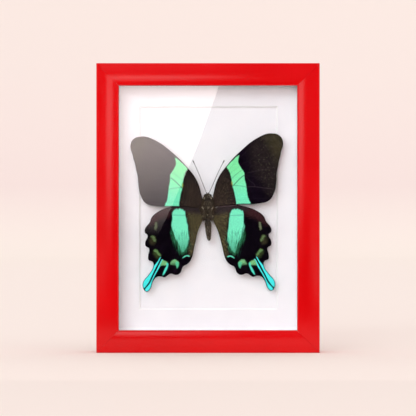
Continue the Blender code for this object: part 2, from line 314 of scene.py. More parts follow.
@dataclass(frozen=True)
class RedLacquer(Finish):
    """Polyurethane lacquer sprayed on MDF rails.

    Spraying leaves an even saturated film with a faint orange peel, and the coat is a little thinner
    and deeper in tone in soft clouds, which the eye reads as a satin, slightly soft gloss.
    """

    name: str = "sprayed_red_lacquer"
    colour: str = "#c50005"
    deep: str = "#be0004"
    peel: float = 1.4 * MM
    cloud: float = 45 * MM
    peel_height: float = 0.012 * MM
    roughness: Point = (0.1, 0.125)
    specular: float = 0.3

    def build(self) -> Material:
        """Build the lacquer.

        Returns:
            The material.
        """
        add, place = self.start()
        clouds = add("TexNoise", {"Vector": place, "Scale": 1 / self.cloud, "Detail": 3.0})
        peel = add("TexNoise", {"Vector": place, "Scale": 1 / self.peel, "Detail": 2.0})
        rough = add("MapRange", {"Value": clouds, **USUAL, **band("To", self.roughness)})
        stops = ((0.35, self.deep), (0.65, self.colour))
        inputs = {"Roughness": rough, "Specular IOR Level": self.specular}
        return self.surface(add, clouds, stops, (peel, 0.5, self.peel_height), inputs)


@dataclass(frozen=True)
class PictureGlass(Finish):
    """Float glass cut for picture frames.

    Drawn flat on molten tin, it is clear with two bright faces and the faintest long ripple.  Lamps
    shine through it on what it covers.
    """

    name: str = "picture_float_glass"
    tint: str = "#fdfffe"
    ripple: float = 60 * MM
    ripple_height: float = 0.0004 * MM
    refraction: float = 1.5

    def build(self) -> Material:
        """Build the glass.

        Returns:
            The material.
        """
        add, place = self.start()
        ripple = add("TexNoise", {"Vector": place, "Scale": 1 / self.ripple, "Detail": 0.0})
        normal = add("Bump", {"Height": ripple, "Strength": 0.3, "Distance": self.ripple_height})
        inputs = {"Base Color": linear(self.tint), "Roughness": 0.0, "Transmission Weight": 1.0}
        glass = add("BsdfPrincipled", {**inputs, "IOR": self.refraction, "Normal": normal})
        shadow = add("LightPath", out="Is Shadow Ray")
        return self.close(add, add("MixShader", {0: shadow, 1: glass, 2: add("BsdfTransparent")}))


@dataclass(frozen=True)
class Board(Finish):
    """Paper-faced board, such as mat board or mount board.

    Pressed cotton and wood pulp: a matt surface with a fine tooth and the faintest mottle, so that
    it takes soft shadows evenly.
    """

    name: str = "mat_board_paper"
    colour: str = "#f6f5f7"
    mottle: str = "#f1f0f3"
    # Paper fibres are about 0.03 mm wide; the tooth is drawn ten times as coarse so that it shows.
    tooth: float = 0.3 * MM
    tooth_height: float = 0.02 * MM
    cloud: float = 9 * MM
    specular: float = 0.2
    roughness: float = 0.9

    def build(self) -> Material:
        """Build the board.

        Returns:
            The material.
        """
        add, place = self.start()
        clouds = add("TexNoise", {"Vector": place, "Scale": 1 / self.cloud, "Detail": 5.0})
        tooth = add("TexNoise", {"Vector": place, "Scale": 1 / self.tooth, "Detail": 3.0})
        stops = ((0.3, self.mottle), (0.7, self.colour))
        inputs = {"Roughness": self.roughness, "Specular IOR Level": self.specular}
        return self.surface(add, clouds, stops, (tooth, 0.35, self.tooth_height), inputs)


@dataclass(frozen=True)
class FoamBlock(Finish):
    """Closed-cell polyethylene foam that carries the specimen.

    Blown foam cut with a knife shows small round cells as pits with brighter walls.
    """

    name: str = "white_polyethylene_foam"
    wall: str = "#efece8"
    pit: str = "#cfcac4"
    cell: float = 0.7 * MM
    roughness: float = 0.85

    def build(self) -> Material:
        """Build the foam.

        Returns:
            The material.
        """
        add, place = self.start()
        cells = add("TexVoronoi", {"Vector": place, "Scale": 1 / self.cell})
        stops = ((0.1, self.pit), (0.6, self.wall))
        return self.surface(add, cells, stops, (cells, 0.6, 0.15 * self.cell), {"Roughness": self.roughness})


@dataclass(frozen=True)
class Hardboard(Finish):
    """Wet-pressed hardboard.

    Steamed wood fibre pressed to a sheet: a brown skin with a felt of short darker and paler fibres
    and a dull polish from the press plate.
    """

    name: str = "pressed_hardboard"
    dark: str = "#5d4029"
    mid: str = "#7a5738"
    pale: str = "#9a7650"
    fibre: float = 1.2 * MM
    fibre_height: float = 0.06 * MM
    cloud: float = 25 * MM
    roughness: Point = (0.55, 0.8)
    # How far the swirl bends the fibres, as a share of its size.
    bend: float = 0.4

    def build(self) -> Material:
        """Build the hardboard.

        Returns:
            The material.
        """
        add, place = self.start()
        swirl = add("TexNoise", {"Vector": place, "Scale": 1 / self.cloud, "Detail": 2.0}, "Color")
        reach = (self.cloud * self.bend,) * 3
        bent = add("VectorMath", {0: swirl, 1: reach, 2: place}, operation="MULTIPLY_ADD")
        fibres = add("TexNoise", {"Vector": bent, "Scale": 1 / self.fibre, "Detail": 6.0, "Roughness": 0.75})
        rough = add("MapRange", {"Value": fibres, **band("To", self.roughness)})
        stops = ((0.3, self.dark), (0.5, self.mid), (0.72, self.pale))
        return self.surface(add, fibres, stops, (fibres, 0.5, self.fibre_height), {"Roughness": rough})


@dataclass(frozen=True)
class ZincSteel(Finish):
    """Zinc-plated sheet steel, stamped.

    The plating is bright with fine roll lines along the strip and dull clouds where it has been
    handled, so its highlights are streaked.
    """

    name: str = "zinc_plated_steel"
    bright: str = "#d2d3d1"
    dull: str = "#a9aaa8"
    line: float = 0.15 * MM
    line_height: float = 0.01 * MM
    cloud: float = 5 * MM
    roughness: Point = (0.42, 0.28)
    # The roll lines are drawn out along the strip.
    stretch: float = 0.04

    def build(self) -> Material:
        """Build the plated steel.

        Returns:
            The material.
        """
        add, place = self.start()
        along = add("Mapping", {"Vector": place, "Scale": (self.stretch, 1.0, 1.0)})
        lines = add("TexNoise", {"Vector": along, "Scale": 1 / self.line, "Detail": 2.0})
        clouds = add("TexNoise", {"Vector": place, "Scale": 1 / self.cloud, "Detail": 3.0})
        rough = add("MapRange", {"Value": clouds, **USUAL, **band("To", self.roughness)})
        stops = ((0.35, self.dull), (0.65, self.bright))
        inputs = {"Metallic": 1.0, "Roughness": rough}
        return self.surface(add, clouds, stops, (lines, 0.3, self.line_height), inputs)


@dataclass(frozen=True)
class WoolFelt(Finish):
    """Pressed wool felt.

    Matted crimped fibres of several greys, with a soft halo at grazing angles.
    """

    name: str = "pressed_wool_felt"
    dark: str = "#3d3b39"
    pale: str = "#77736f"
    fibre: float = 0.35 * MM
    fibre_height: float = 0.12 * MM
    roughness: float = 0.95
    halo: float = 0.4

    def build(self) -> Material:
        """Build the felt.

        Returns:
            The material.
        """
        add, place = self.start()
        fibres = add("TexNoise", {"Vector": place, "Scale": 1 / self.fibre, "Detail": 5.0, "Distortion": 1.5})
        stops = ((0.3, self.dark), (0.7, self.pale))
        inputs = {"Roughness": self.roughness, "Sheen Weight": self.halo, "Sheen Roughness": 0.5}
        return self.surface(add, fibres, stops, (fibres, 0.8, self.fibre_height), inputs)


@dataclass(frozen=True)
class Chitin(Finish):
    """Bare insect cuticle, under the hair and on the feelers.

    Dried cuticle is dark, thin and slightly translucent at the edges, with a dull waxy gloss and fine
    pits.
    """

    name: str = "dried_cuticle"
    dark: str = "#17110d"
    pale: str = "#3b3128"
    pit: float = 0.25 * MM
    roughness: float = 0.5
    specular: float = 0.35

    def build(self) -> Material:
        """Build the cuticle.

        Returns:
            The material.
        """
        add, place = self.start()
        pits = add("TexNoise", {"Vector": place, "Scale": 1 / self.pit, "Detail": 4.0})
        stops = ((0.35, self.dark), (0.7, self.pale))
        inputs = {"Roughness": self.roughness, "Specular IOR Level": self.specular}
        return self.surface(add, pits, stops, (pits, 0.6, 0.3 * self.pit), inputs)


@dataclass(frozen=True)
class CompoundEye(Finish):
    """Facetted insect eye.

    Thousands of tiny lenses make a dark bead with a hard gloss broken into a fine net.
    """

    name: str = "compound_eye"
    dark: str = "#120c08"
    pale: str = "#3a2a1e"
    # A facet is about 0.025 mm; the net is drawn six times as coarse so that it shows.
    facet: float = 0.15 * MM
    roughness: float = 0.18
    gloss: float = 0.5

    def build(self) -> Material:
        """Build the eye.

        Returns:
            The material.
        """
        add, place = self.start()
        net = add("TexVoronoi", {"Vector": place, "Scale": 1 / self.facet})
        stops = ((0.1, self.pale), (0.7, self.dark))
        inputs = {"Roughness": self.roughness, "Coat Weight": self.gloss}
        return self.surface(add, net, stops, (net, 0.4, 0.15 * self.facet), inputs, invert=True)


@dataclass(frozen=True)
class BodyHair(Finish):
    """Hair-like scales of the body.

    Each hair has its own tone, from near black to tan, and bleaches towards its tip.  The hairs'
    attribute tone holds that share, and tip runs from the root to the end.
    """

    name: str = "body_hair_scales"
    # How much paler a hair is at its tip.
    bleach: float = 0.12
    roughness: float = 0.6
    specular: float = 0.25
    stops: Stops = ((0.0, "#17120e"), (0.5, "#33291f"), (0.82, "#66573f"), (1.0, "#d8cab4"))

    def build(self) -> Material:
        """Build the hair.

        Returns:
            The material.
        """
        add, _ = self.start()
        tone = add("Attribute", out="Fac", attribute_name="tone")
        tip = add("Attribute", out="Fac", attribute_name="tip")
        share = add("Math", {0: tip, 1: self.bleach, 2: tone}, operation="MULTIPLY_ADD")
        colour = add("ValToRGB", {"Fac": share}, stops=self.stops)
        inputs = {"Base Color": colour, "Roughness": self.roughness, "Specular IOR Level": self.specular}
        return self.close(add, add("BsdfPrincipled", inputs))


@dataclass(frozen=True)
class Mark:
    """One marking of a wing: a field of scales of one colour, with an edge as frayed as the real one.

    The outline is in millimetres in the wing's plan.  Inside it the mesh attribute of the same name
    is the distance to the edge, positive inwards.
    """

    name: str
    outline: Route
    colour: str
    low_colour: str | None = None
    low_up: float = 0.0
    high_up: float = 1.0
    soft: float = 0.25
    fray: float = 0.2
    streak: float = 0.25
    density: float = 1.0
    coarse: float = 1.6


@dataclass(frozen=True)
class WingScales(Finish):
    """Rows of scales on a butterfly's wing.

    Flat overlapping scales in rows across the veins: a dull velvet ground with single golden scales
    strewn on it, brighter fields of structural green with frayed edges, and thin dark veins.
    """

    name: str = "wing_scales"
    ground: str = "#1c1420"
    marks: tuple[Mark, ...] = ()
    vein_on_mark: str = "#2b8f66"
    vein_on_ground: str = "#3a3035"
    rim: str = "#120c0c"
    bright: tuple[str, ...] = ()
    # Scale rows lie about 0.1 mm apart; they are drawn at 0.55 mm so that they show.
    row: float = 0.55
    fleck: float = 0.6
    cloud: float = 2.2
    row_height: float = 0.03 * MM
    # How far the tone swings on the ground, on the bright fields, and from patch to patch.
    ground_swing: Point = (0.68, 1.34)
    bright_swing: Point = (0.9, 1.06)
    patch_swing: Point = (0.78, 1.24)
    # The rim's colour fades in between these distances from the edge, in millimetres.
    rim_fade: Point = (0.75, 0.1)
    roughness: float = 0.62
    specular: float = 0.03

    def build(self) -> Material:
        """Build the scales, field by field.

        Returns:
            The material.
        """
        add, _ = self.start()
        kept = ("grain", "plan", "brush")
        grain, plan, brush = (add("Attribute", out="Vector", attribute_name=name) for name in kept)
        up = add("SeparateXYZ", {"Vector": plan}, "Y")
        colour, shine = add("RGB"), add("Value")
        colour.default_value = linear(self.ground)
        shine.default_value = 0.0
        for mark in self.marks:
            mask = self.mask(add, mark, brush if mark.streak < 0.2 else grain)
            colour = self.lay(add, mark, mask, colour, up)
            if mark.name in self.bright:
                shine = add("Math", {0: shine, 1: mask}, operation="MAXIMUM")
        colour = self.veins_and_rim(add, self.mottle(add, colour, grain, shine), shine)
        inputs = {"Base Color": colour, "Roughness": self.roughness, "Specular IOR Level": self.specular}
        return self.close(add, add("BsdfPrincipled", {**inputs, "Normal": self.relief(add, grain)}))

    def mask(self, add: Adder, mark: Mark, grain: NodeSocket) -> NodeSocket:
        """Make a marking's share at each point, 0 to 1, from its frayed distance.

        Args:
            add: Adds a node to the material's tree.
            mark: The marking; its density is the share of scales that have its colour.
            grain: Coordinates along and across the scale rows.

        Returns:
            The share.
        """
        inside = add("Attribute", out="Fac", attribute_name=mark.name)
        rows = add("Mapping", {"Vector": grain, "Scale": (mark.streak, 1.0, 1.0)})
        ragged = add("TexNoise", {"Vector": rows, "Scale": mark.coarse, "Detail": 3.0, "Roughness": 0.6})
        frayed = add("MapRange", {"Value": ragged, **USUAL, **band("To", (-mark.fray, mark.fray))})
        moved = add("Math", {0: inside, 1: frayed}, operation="ADD")
        soft = {"Value": moved, **band("From", (-mark.soft, mark.soft))}
        share = add("MapRange", soft, interpolation_type="SMOOTHSTEP")
        if mark.density == 1.0:
            return share
        flecks = add("TexNoise", {"Vector": rows, "Scale": 1 / self.fleck, "Detail": 1.0, "Roughness": 0.4})
        sparse = 0.72 - 0.34 * mark.density
        single = add("MapRange", {"Value": flecks, **band("From", (sparse, sparse + 0.12))})
        return add("Math", {0: share, 1: single}, operation="MULTIPLY")

    def lay(self, add: Adder, mark: Mark, mask: NodeSocket, colour: NodeSocket, up: NodeSocket) -> NodeSocket:
        """Lay one marking over the colours below it.

        Args:
            add: Adds a node to the material's tree.
            mark: The marking.
            mask: Its share at each point.
            colour: The colour so far.
            up: Height in the wing's plan, in millimetres, for a marking that changes colour along it.

        Returns:
            The colour with the marking on it.
        """
        over = linear(mark.colour)
        if mark.low_colour is not None:
            height = add("MapRange", {"Value": up, **band("From", (mark.low_up, mark.high_up))})
            over = add("ValToRGB", {"Fac": height}, stops=((0.0, mark.low_colour), (1.0, mark.colour)))
        return add("Mix", {0: mask, 6: colour, 7: over}, 2, data_type="RGBA")

    def mottle(self, add: Adder, colour: NodeSocket, grain: NodeSocket, shine: NodeSocket) -> NodeSocket:
        """Vary the tone from scale to scale, less on the bright fields.

        Args:
            add: Adds a node to the material's tree.
            colour: The colour so far.
            grain: Coordinates along and across the scale rows.
            shine: Share of the bright fields.

        Returns:
            The varied colour.
        """
        across = add("Mapping", {"Vector": grain, "Scale": (1.0, 0.35, 1.0)})
        rows = add("TexNoise", {"Vector": across, "Scale": 1 / self.row, "Detail": 3.0, "Roughness": 0.7})
        patches = add("TexNoise", {"Vector": grain, "Scale": 1 / self.cloud, "Detail": 2.0, "Roughness": 0.6})
        swings = ((rows, self.ground_swing), (rows, self.bright_swing), (patches, self.patch_swing))
        on_ground, on_bright, clouded = (
            add("MapRange", {"Value": value, **USUAL, **band("To", swing)}) for value, swing in swings
        )
        ground = add("Math", {0: on_ground, 1: clouded}, operation="MULTIPLY")
        factor = add("Mix", {0: shine, 2: ground, 3: on_bright}, data_type="FLOAT")
        return add("VectorMath", {0: colour, 3: factor}, operation="SCALE")

    def veins_and_rim(self, add: Adder, colour: NodeSocket, shine: NodeSocket) -> NodeSocket:
        """Draw the veins and the dark rim over the scales.

        Args:
            add: Adds a node to the material's tree.
            colour: The colour so far.
            shine: Share of the bright fields.

        Returns:
            The finished colour.
        """
        pale, dark, depth = (
            add("Attribute", out="Fac", attribute_name=name) for name in ("vein_pale", "vein_dark", "depth")
        )
        tones = {6: linear(self.vein_on_ground), 7: linear(self.vein_on_mark)}
        tint = add("Mix", {0: shine, **tones}, 2, data_type="RGBA")
        strength = add("Mix", {0: shine, 2: pale, 3: dark}, data_type="FLOAT")
        veined = add("Mix", {0: strength, 6: colour, 7: tint}, 2, data_type="RGBA")
        border = {"Value": depth, **band("From", self.rim_fade)}
        edge = add("MapRange", border, interpolation_type="SMOOTHSTEP")
        return add("Mix", {0: edge, 6: veined, 7: linear(self.rim)}, 2, data_type="RGBA")

    def relief(self, add: Adder, grain: NodeSocket) -> NodeSocket:
        """Raise the rows of scales slightly.

        Args:
            add: Adds a node to the material's tree.
            grain: Coordinates along and across the scale rows.

        Returns:
            The bent normal.
        """
        wave = {"Scale": 0.314 / self.row, "Distortion": 4.0, "Detail": 2.0, "Detail Scale": 1.5}
        rows = add("TexWave", {"Vector": grain, **wave}, "Fac", bands_direction="X")
        return add("Bump", {"Height": rows, "Strength": 0.5, "Distance": self.row_height})


# --------------------------------------------------------------------------------------------------
# The box frame and its sheets
# --------------------------------------------------------------------------------------------------


class RailSide(Enum):
    """The four rails, each with the turn that brings the left rail to it."""

    LEFT = ("left", 0.0)
    TOP = ("top", pi / 2)
    RIGHT = ("right", pi)
    BOTTOM = ("bottom", -pi / 2)

    @property
    def word(self) -> str:
        """The side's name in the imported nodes."""
        return self.value[0]

    @property
    def turn(self) -> float:
        """The turn about Y."""
        return self.value[1]


def edges_at(work: BMesh, x: float, y: float) -> list[BMEdge]:
    """Find the edges that run along Z at one corner of a section.

    Args:
        work: The extruded section.
        x: The corner's place across.
        y: The corner's depth.

    Returns:
        The edges whose two ends are both on that corner.
    """
    on = {v for v in work.verts if abs(v.co.x - x) < WELD and abs(v.co.y - y) < WELD}
    return [e for e in work.edges if on.issuperset(e.verts)]


def bevel(work: BMesh, geom: list, offset: float, segments: int, affect: str = "EDGES") -> None:
    """Round edges, or corners, by the same offset on both sides."""
    settings = {"offset_type": "OFFSET", "profile": 0.5, "material": -1, "clamp_overlap": affect == "EDGES"}
    bmesh.ops.bevel(work, geom=geom, offset=offset, segments=segments, affect=affect, **settings)


def cut_across(work: BMesh, place: tuple, way: tuple, clear: bool = False) -> list:
    """Cut a whole shape with a plane.

    Args:
        work: The shape.
        place: A point of the plane.
        way: The plane's normal.
        clear: Whether what lies beyond the plane goes.

    Returns:
        The new edges.
    """
    geom = work.verts[:] + work.edges[:] + work.faces[:]
    settings = {"dist": WELD, "plane_co": place, "plane_no": way, "clear_outer": clear}
    made = bmesh.ops.bisect_plane(work, geom=geom, **settings)
    return [e for e in made["geom_cut"] if isinstance(e, BMEdge)]


def spun(profile: Any, axis: Vector, steps: int) -> BMesh:
    """Spin a profile once round an axis.

    Args:
        profile: Its points, each with a radius and a height.
        axis: The axis, Y or Z, along which the heights run.
        steps: How many steps the turn has.

    Returns:
        The turned shape, welded.
    """
    work = bmesh.new()
    verts = [work.verts.new(Vector((radius, 0.0, 0.0)) + axis * height) for radius, height in profile]
    for pair in zip(verts, verts[1:]):
        work.edges.new(pair)
    settings = {"cent": (0.0, 0.0, 0.0), "axis": axis, "angle": 2 * pi, "use_merge": True}
    bmesh.ops.spin(work, geom=work.verts[:] + work.edges[:], steps=steps, **settings)
    bmesh.ops.remove_doubles(work, verts=work.verts, dist=WELD)
    return work


@dataclass
class BoxFrame:
    """Four mitred rails of a plain square moulding with a thin lip over the glass."""

    lip: float = 4.0 * MM
    rebate: float = 2.6 * MM
    outer_round: float = 0.8 * MM
    sight_round: float = 1.1 * MM
    arris: float = 0.15 * MM
    hairline: float = 0.05 * MM
    finish: RedLacquer = field(default_factory=RedLacquer)

    def build(self) -> None:
        """Build and place the four rails."""
        lacquer = self.finish.build()
        for side in RailSide:
            self.rail(side, lacquer)

    def rail(self, side: RailSide, lacquer: Material) -> None:
        """Model one rail as the left one and turn it to its side.

        Args:
            side: Which rail.
            lacquer: Its material.
        """
        node = f"rail_{side.word}"
        low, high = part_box(node)
        size, middle = high - low, (low + high) / 2
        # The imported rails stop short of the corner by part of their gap, which the mitre takes up.
        lowest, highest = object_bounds()
        if side in (RailSide.LEFT, RailSide.RIGHT):
            face, length = size.x, highest.z - lowest.z
            seat = Vector((low.x if side is RailSide.LEFT else high.x, 0.0, middle.z))
        else:
            face, length = size.z, highest.x - lowest.x
            seat = Vector((middle.x, 0.0, high.z if side is RailSide.TOP else low.z))
        work = self.section(face, size.y, length)
        for end in (-1.0, 1.0):
            cut = cut_across(work, (-self.hairline, 0.0, end * length / 2), (1.0, 0.0, end), True)
            bmesh.ops.edgeloop_fill(work, edges=cut)
        bmesh.ops.recalc_face_normals(work, faces=work.faces)
        turn = Matrix.Rotation(side.turn, 4, "Y")
        lay_out(work, Matrix.Translation(seat), turn)
        add_piece(work, f"{side.word}_rail_lacquered", [lacquer], (node,), radians(35))

    def section(self, face: float, depth: float, length: float) -> BMesh:
        """Extrude the moulding's section and round its edges.

        Args:
            face: Width of the rail seen from the front.
            depth: Depth from front to back.
            length: Length from corner to corner.

        Returns:
            The uncut rail, its outer side at x = 0 and its length along Z.
        """
        front, back = -depth / 2, depth / 2
        glass, inner = front + self.lip, face - self.rebate
        corners = [(0.0, front), (face, front), (face, glass), (inner, glass), (inner, back), (0.0, back)]
        work = bmesh.new()
        verts = [work.verts.new((x, y, -length / 2)) for x, y in corners]
        made = bmesh.ops.extrude_face_region(work, geom=[work.faces.new(verts)])
        raised = [v for v in made["geom"] if isinstance(v, BMVert)]
        bmesh.ops.translate(work, verts=raised, vec=(0.0, 0.0, length))
        bevel(work, edges_at(work, 0.0, front) + edges_at(work, 0.0, back), self.outer_round, 6)
        bevel(work, edges_at(work, face, front), self.sight_round, 3)
        bevel(work, edges_at(work, face, glass) + edges_at(work, inner, back), self.arris, 2)
        bmesh.ops.recalc_face_normals(work, faces=work.faces)
        return work


@dataclass
class Sheets:
    """Glass, spacers, window mat, mount board and hardboard back, from front to back."""

    window_width: float = 96.0 * MM
    window_height: float = 142.2 * MM
    window_x: float = 0.3 * MM
    card_arris: float = 0.12 * MM
    panel_arris: float = 0.35 * MM

    def build(self) -> None:
        """Build or dress each sheet."""
        dress_node("glass", PictureGlass().build())
        spacer = Board("spacer_foam_board", "#efedec", "#e6e3e2").build()
        for side in ("left", "right", "bottom", "top"):
            dress_node(f"spacer_{side}", spacer)
        smooth = Board("mount_board_smooth", "#f7f6f8", "#f2f2f5", tooth=0.2 * MM, tooth_height=0.008 * MM)
        dress_node("mount_board", smooth.build())
        dress_node("mounting_block", FoamBlock().build())
        self.window_mat()
        self.back_panel()

    def window_mat(self) -> None:
        """Cut a window through a sheet, then lean its sides at 45 degrees, which bares the white core."""
        low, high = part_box("window_mat")
        size, middle = high - low, (high + low) / 2
        work = bmesh.new()
        bmesh.ops.create_grid(work, x_segments=3, y_segments=3, size=0.5)
        hole = [f for f in work.faces if f.calc_center_median().length < 0.1]
        bmesh.ops.delete(work, geom=hole, context="FACES")
        bmesh.ops.rotate(work, verts=work.verts, matrix=Matrix.Rotation(pi / 2, 3, "X"))
        made = bmesh.ops.extrude_face_region(work, geom=work.faces[:])
        behind = {v for v in made["geom"] if isinstance(v, BMVert)}
        for vert in work.verts:
            lean = 0.0 if vert in behind else size.y
            for axis, window, centre in ((0, self.window_width, self.window_x), (2, self.window_height, 0.0)):
                way = 1 if vert.co[axis] > 0 else -1
                outer = abs(vert.co[axis]) > 0.4
                reach = way * size[axis] / 2 if outer else centre + way * (window / 2 + lean)
                vert.co[axis] = middle[axis] + reach
            vert.co.y = high.y if vert in behind else low.y
        bmesh.ops.recalc_face_normals(work, faces=work.faces)
        for face in work.faces:
            face.material_index = 1 if 0.1 < abs(face.normal.y) < 0.9 else 0
        bevel(work, [e for e in work.edges if e.calc_face_angle(0.0) > radians(30)], self.card_arris, 2)
        core = Board("mat_board_core", "#ffffff", "#fbfafa", tooth=0.15 * MM)
        add_piece(work, "window_mat_bevelled", [Board().build(), core.build()], ("window_mat",))

    def back_panel(self) -> None:
        """Cut the hardboard back with eased edges."""
        middle, half = middle_and_half("back_panel")
        work = bmesh.new()
        bmesh.ops.create_cube(work, size=2.0)
        lay_out(work, Matrix.Translation(middle), sized(half))
        bevel(work, work.edges[:], self.panel_arris, 2)
        finish = Hardboard().build()
        add_piece(work, "back_panel_hardboard", [finish], ("back_panel",), radians(35))


@dataclass
class BackFixings:
    """Steel points that hold the back in, the toothed hanger with its nails, and the felt pads."""

    lift: float = 0.9 * MM
    point_bands: int = 6
    hanger_tab: float = 7.0 * MM
    hanger_corner: float = 2.2 * MM
    hanger_ramp: float = 1.5 * MM
    hanger_rise: float = 1.2 * MM
    hanger_thick: float = 0.8 * MM
    hanger_arris: float = 0.08 * MM
    tooth_pitch: float = 2.8 * MM
    tooth_count: int = 9
    tooth_depth: float = 2.6 * MM
    sides: int = 40

    def build(self) -> None:
        """Build all fixings."""
        steel = ZincSteel().build()
        turns = {"left": 0.0, "bottom": -pi / 2, "right": pi, "top": pi / 2}
        names = [f"point_{s}_{r}" for s in ("left", "right") for r in ("low", "high")]
        names += [f"point_{s}_{c}" for s in ("bottom", "top") for c in ("a", "b")]
        for name in names:
            self.point(name, turns[name.split("_")[1]], steel)
        self.hanger(steel)
        for side in ("left", "right"):
            self.turned(f"hanger_nail_{side}", f"nail_head_{side}", self.dome, steel, "zinc_steel")
        felt = WoolFelt().build()
        for side in ("left", "right"):
            self.turned(f"bumper_{side}", f"felt_pad_{side}", self.pad, felt, "bumper_felt")

    def point(self, node: str, turn: float, steel: Material) -> None:
        """Model one steel point: a tab with a round tip, sprung slightly off the panel.

        Args:
            node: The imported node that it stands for.
            turn: The turn about Y from the left side's points.
            steel: Its material.
        """
        middle, half = middle_and_half(node)
        size = half * 2
        upright = abs(sin(turn)) > 0.5
        reach, width = (size.z, size.x) if upright else (size.x, size.z)
        work = bmesh.new()
        bmesh.ops.create_cube(work, size=1.0)
        lay_out(work, sized((reach, size.y, width)))
        tip = [e for e in work.edges if all(v.co.x > 0 for v in e.verts) and e.verts[0].co.z == e.verts[1].co.z]
        bevel(work, tip, width * 0.49, 8)
        for step in range(1, self.point_bands):
            cut_across(work, (reach * (step / self.point_bands - 0.5), 0.0, 0.0), (1.0, 0.0, 0.0))
        for vert in work.verts:
            vert.co.y += self.lift * (vert.co.x / reach + 0.5) ** 2
        bmesh.ops.recalc_face_normals(work, faces=work.faces)
        lay_out(work, Matrix.Translation(middle), Matrix.Rotation(turn, 4, "Y"))
        add_piece(work, node.replace("point", "steel_point"), [steel], (node,), radians(40))

    def hanger(self, steel: Material) -> None:
        """Stamp the toothed hanger: flat tabs, a raised middle and teeth along its lower edge.

        Args:
            steel: Its material.
        """
        low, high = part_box("hanger")
        half, height = (high.x - low.x) / 2, high.z - low.z
        start = -self.tooth_count * self.tooth_pitch / 2
        outline = [(-half, height), (-half, 0.0)]
        for tooth in range(self.tooth_count):
            left = start + tooth * self.tooth_pitch
            outline += [(left, 0.0), (left + self.tooth_pitch / 2, self.tooth_depth)]
        outline += [(-start, 0.0), (half, 0.0), (half, height)]
        work = bmesh.new()
        work.faces.new([work.verts.new((x, 0.0, z)) for x, z in outline])
        ends = [v for v in work.verts if abs(abs(v.co.x) - half) < WELD]
        bevel(work, ends, self.hanger_corner, 5, "VERTICES")
        bend = half - self.hanger_tab
        for x in (-bend, -bend + self.hanger_ramp, bend - self.hanger_ramp, bend):
            cut_across(work, (x, 0.0, 0.0), (1.0, 0.0, 0.0))
        for vert in work.verts:
            if abs(vert.co.x) < bend - self.hanger_ramp + WELD:
                vert.co.y = self.hanger_rise
        bmesh.ops.recalc_face_normals(work, faces=work.faces)
        bmesh.ops.solidify(work, geom=work.faces[:], thickness=self.hanger_thick)
        depth = min(v.co.y for v in work.verts)
        bmesh.ops.translate(work, verts=work.verts, vec=((low.x + high.x) / 2, low.y - depth, low.z))
        bmesh.ops.recalc_face_normals(work, faces=work.faces)
        rims = [e for e in work.edges if e.calc_face_angle(0.0) > radians(60)]
        bevel(work, rims, self.hanger_arris, 1)
        add_piece(work, "toothed_hanger", [steel], ("hanger",), radians(30))

    def dome(self, radius: float, thick: float) -> Route:
        """Give a nail head's profile: out along its foot, then over the dome."""
        curve = [(radius * cos(a), 0.3 * thick + 0.7 * thick * sin(a)) for a in np.linspace(0, pi / 2, 8)]
        return ((0.0, 0.0), (radius, 0.0), *curve)

    def pad(self, radius: float, thick: float) -> Route:
        """Give a felt pad's profile: a disc with a soft upper edge.

        Args:
            radius: The disc's radius.
            thick: Its thickness.

        Returns:
            The profile's points, each with a radius and a height.
        """
        soft = 0.35 * thick
        turns = np.linspace(0, pi / 2, 6)
        curve = [(radius - soft + soft * cos(a), thick - soft + soft * sin(a)) for a in turns]
        return ((0.0, 0.0), (radius * 0.97, 0.0), *curve, (radius * 0.5, thick), (0.0, thick))

    def turned(self, node: str, name: str, profile: Callable, material: Material, slot: str) -> None:
        """Spin a profile round the Y axis and seat it where its node is.

        Args:
            node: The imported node.
            name: The new piece's name.
            profile: Gives the profile for a radius and a thickness.
            material: Its material.
            slot: Its material slot.
        """
        low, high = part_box(node)
        middle = (low + high) / 2
        work = spun(profile((high.x - low.x) / 2, high.y - low.y), Vector((0.0, 1.0, 0.0)), self.sides)
        bmesh.ops.recalc_face_normals(work, faces=work.faces)
        bmesh.ops.translate(work, verts=work.verts, vec=(middle.x, low.y, middle.z))
        add_piece(work, name, [material], (node,), radians(40))


# --------------------------------------------------------------------------------------------------
# The butterfly
# --------------------------------------------------------------------------------------------------


class Side(Enum):
    """The two sides of the specimen, with the sign of its own outward direction."""

    LEFT = -1
    RIGHT = 1

    @property
    def word(self) -> str:
        """The side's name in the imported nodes."""
        return self.name.lower()


def closed_curve(points: Route, steps: int = 6) -> np.ndarray:
    """Run a smooth closed curve through points.

    Args:
        points: The points, in order.
        steps: How many stretches there are between two points.

    Returns:
        The curve's points, one row each.
    """
    knots = np.array(points, float)
    before, after, beyond = np.roll(knots, 1, 0), np.roll(knots, -1, 0), np.roll(knots, -2, 0)
    square = 2 * before - 5 * knots + 4 * after - beyond
    cube = 3 * knots - before - 3 * after + beyond
    shares = np.arange(steps) / steps
    rows = [0.5 * (2 * knots + (after - before) * t + square * t**2 + cube * t**3) for t in shares]
    return np.stack(rows, 1).reshape(-1, 2)


def open_curve(points: Route, steps: int = 8) -> np.ndarray:
    """Run a smooth open curve through points.

    Args:
        points: The points, in order.
        steps: How many stretches there are between two points.

    Returns:
        The curve's points, one row each.
    """
    knots = np.array(points, float)
    padded = np.vstack([2 * knots[0] - knots[1], knots, 2 * knots[-1] - knots[-2]])
    curve = closed_curve(padded, steps)
    return np.vstack([curve[steps : -2 * steps], knots[-1]])


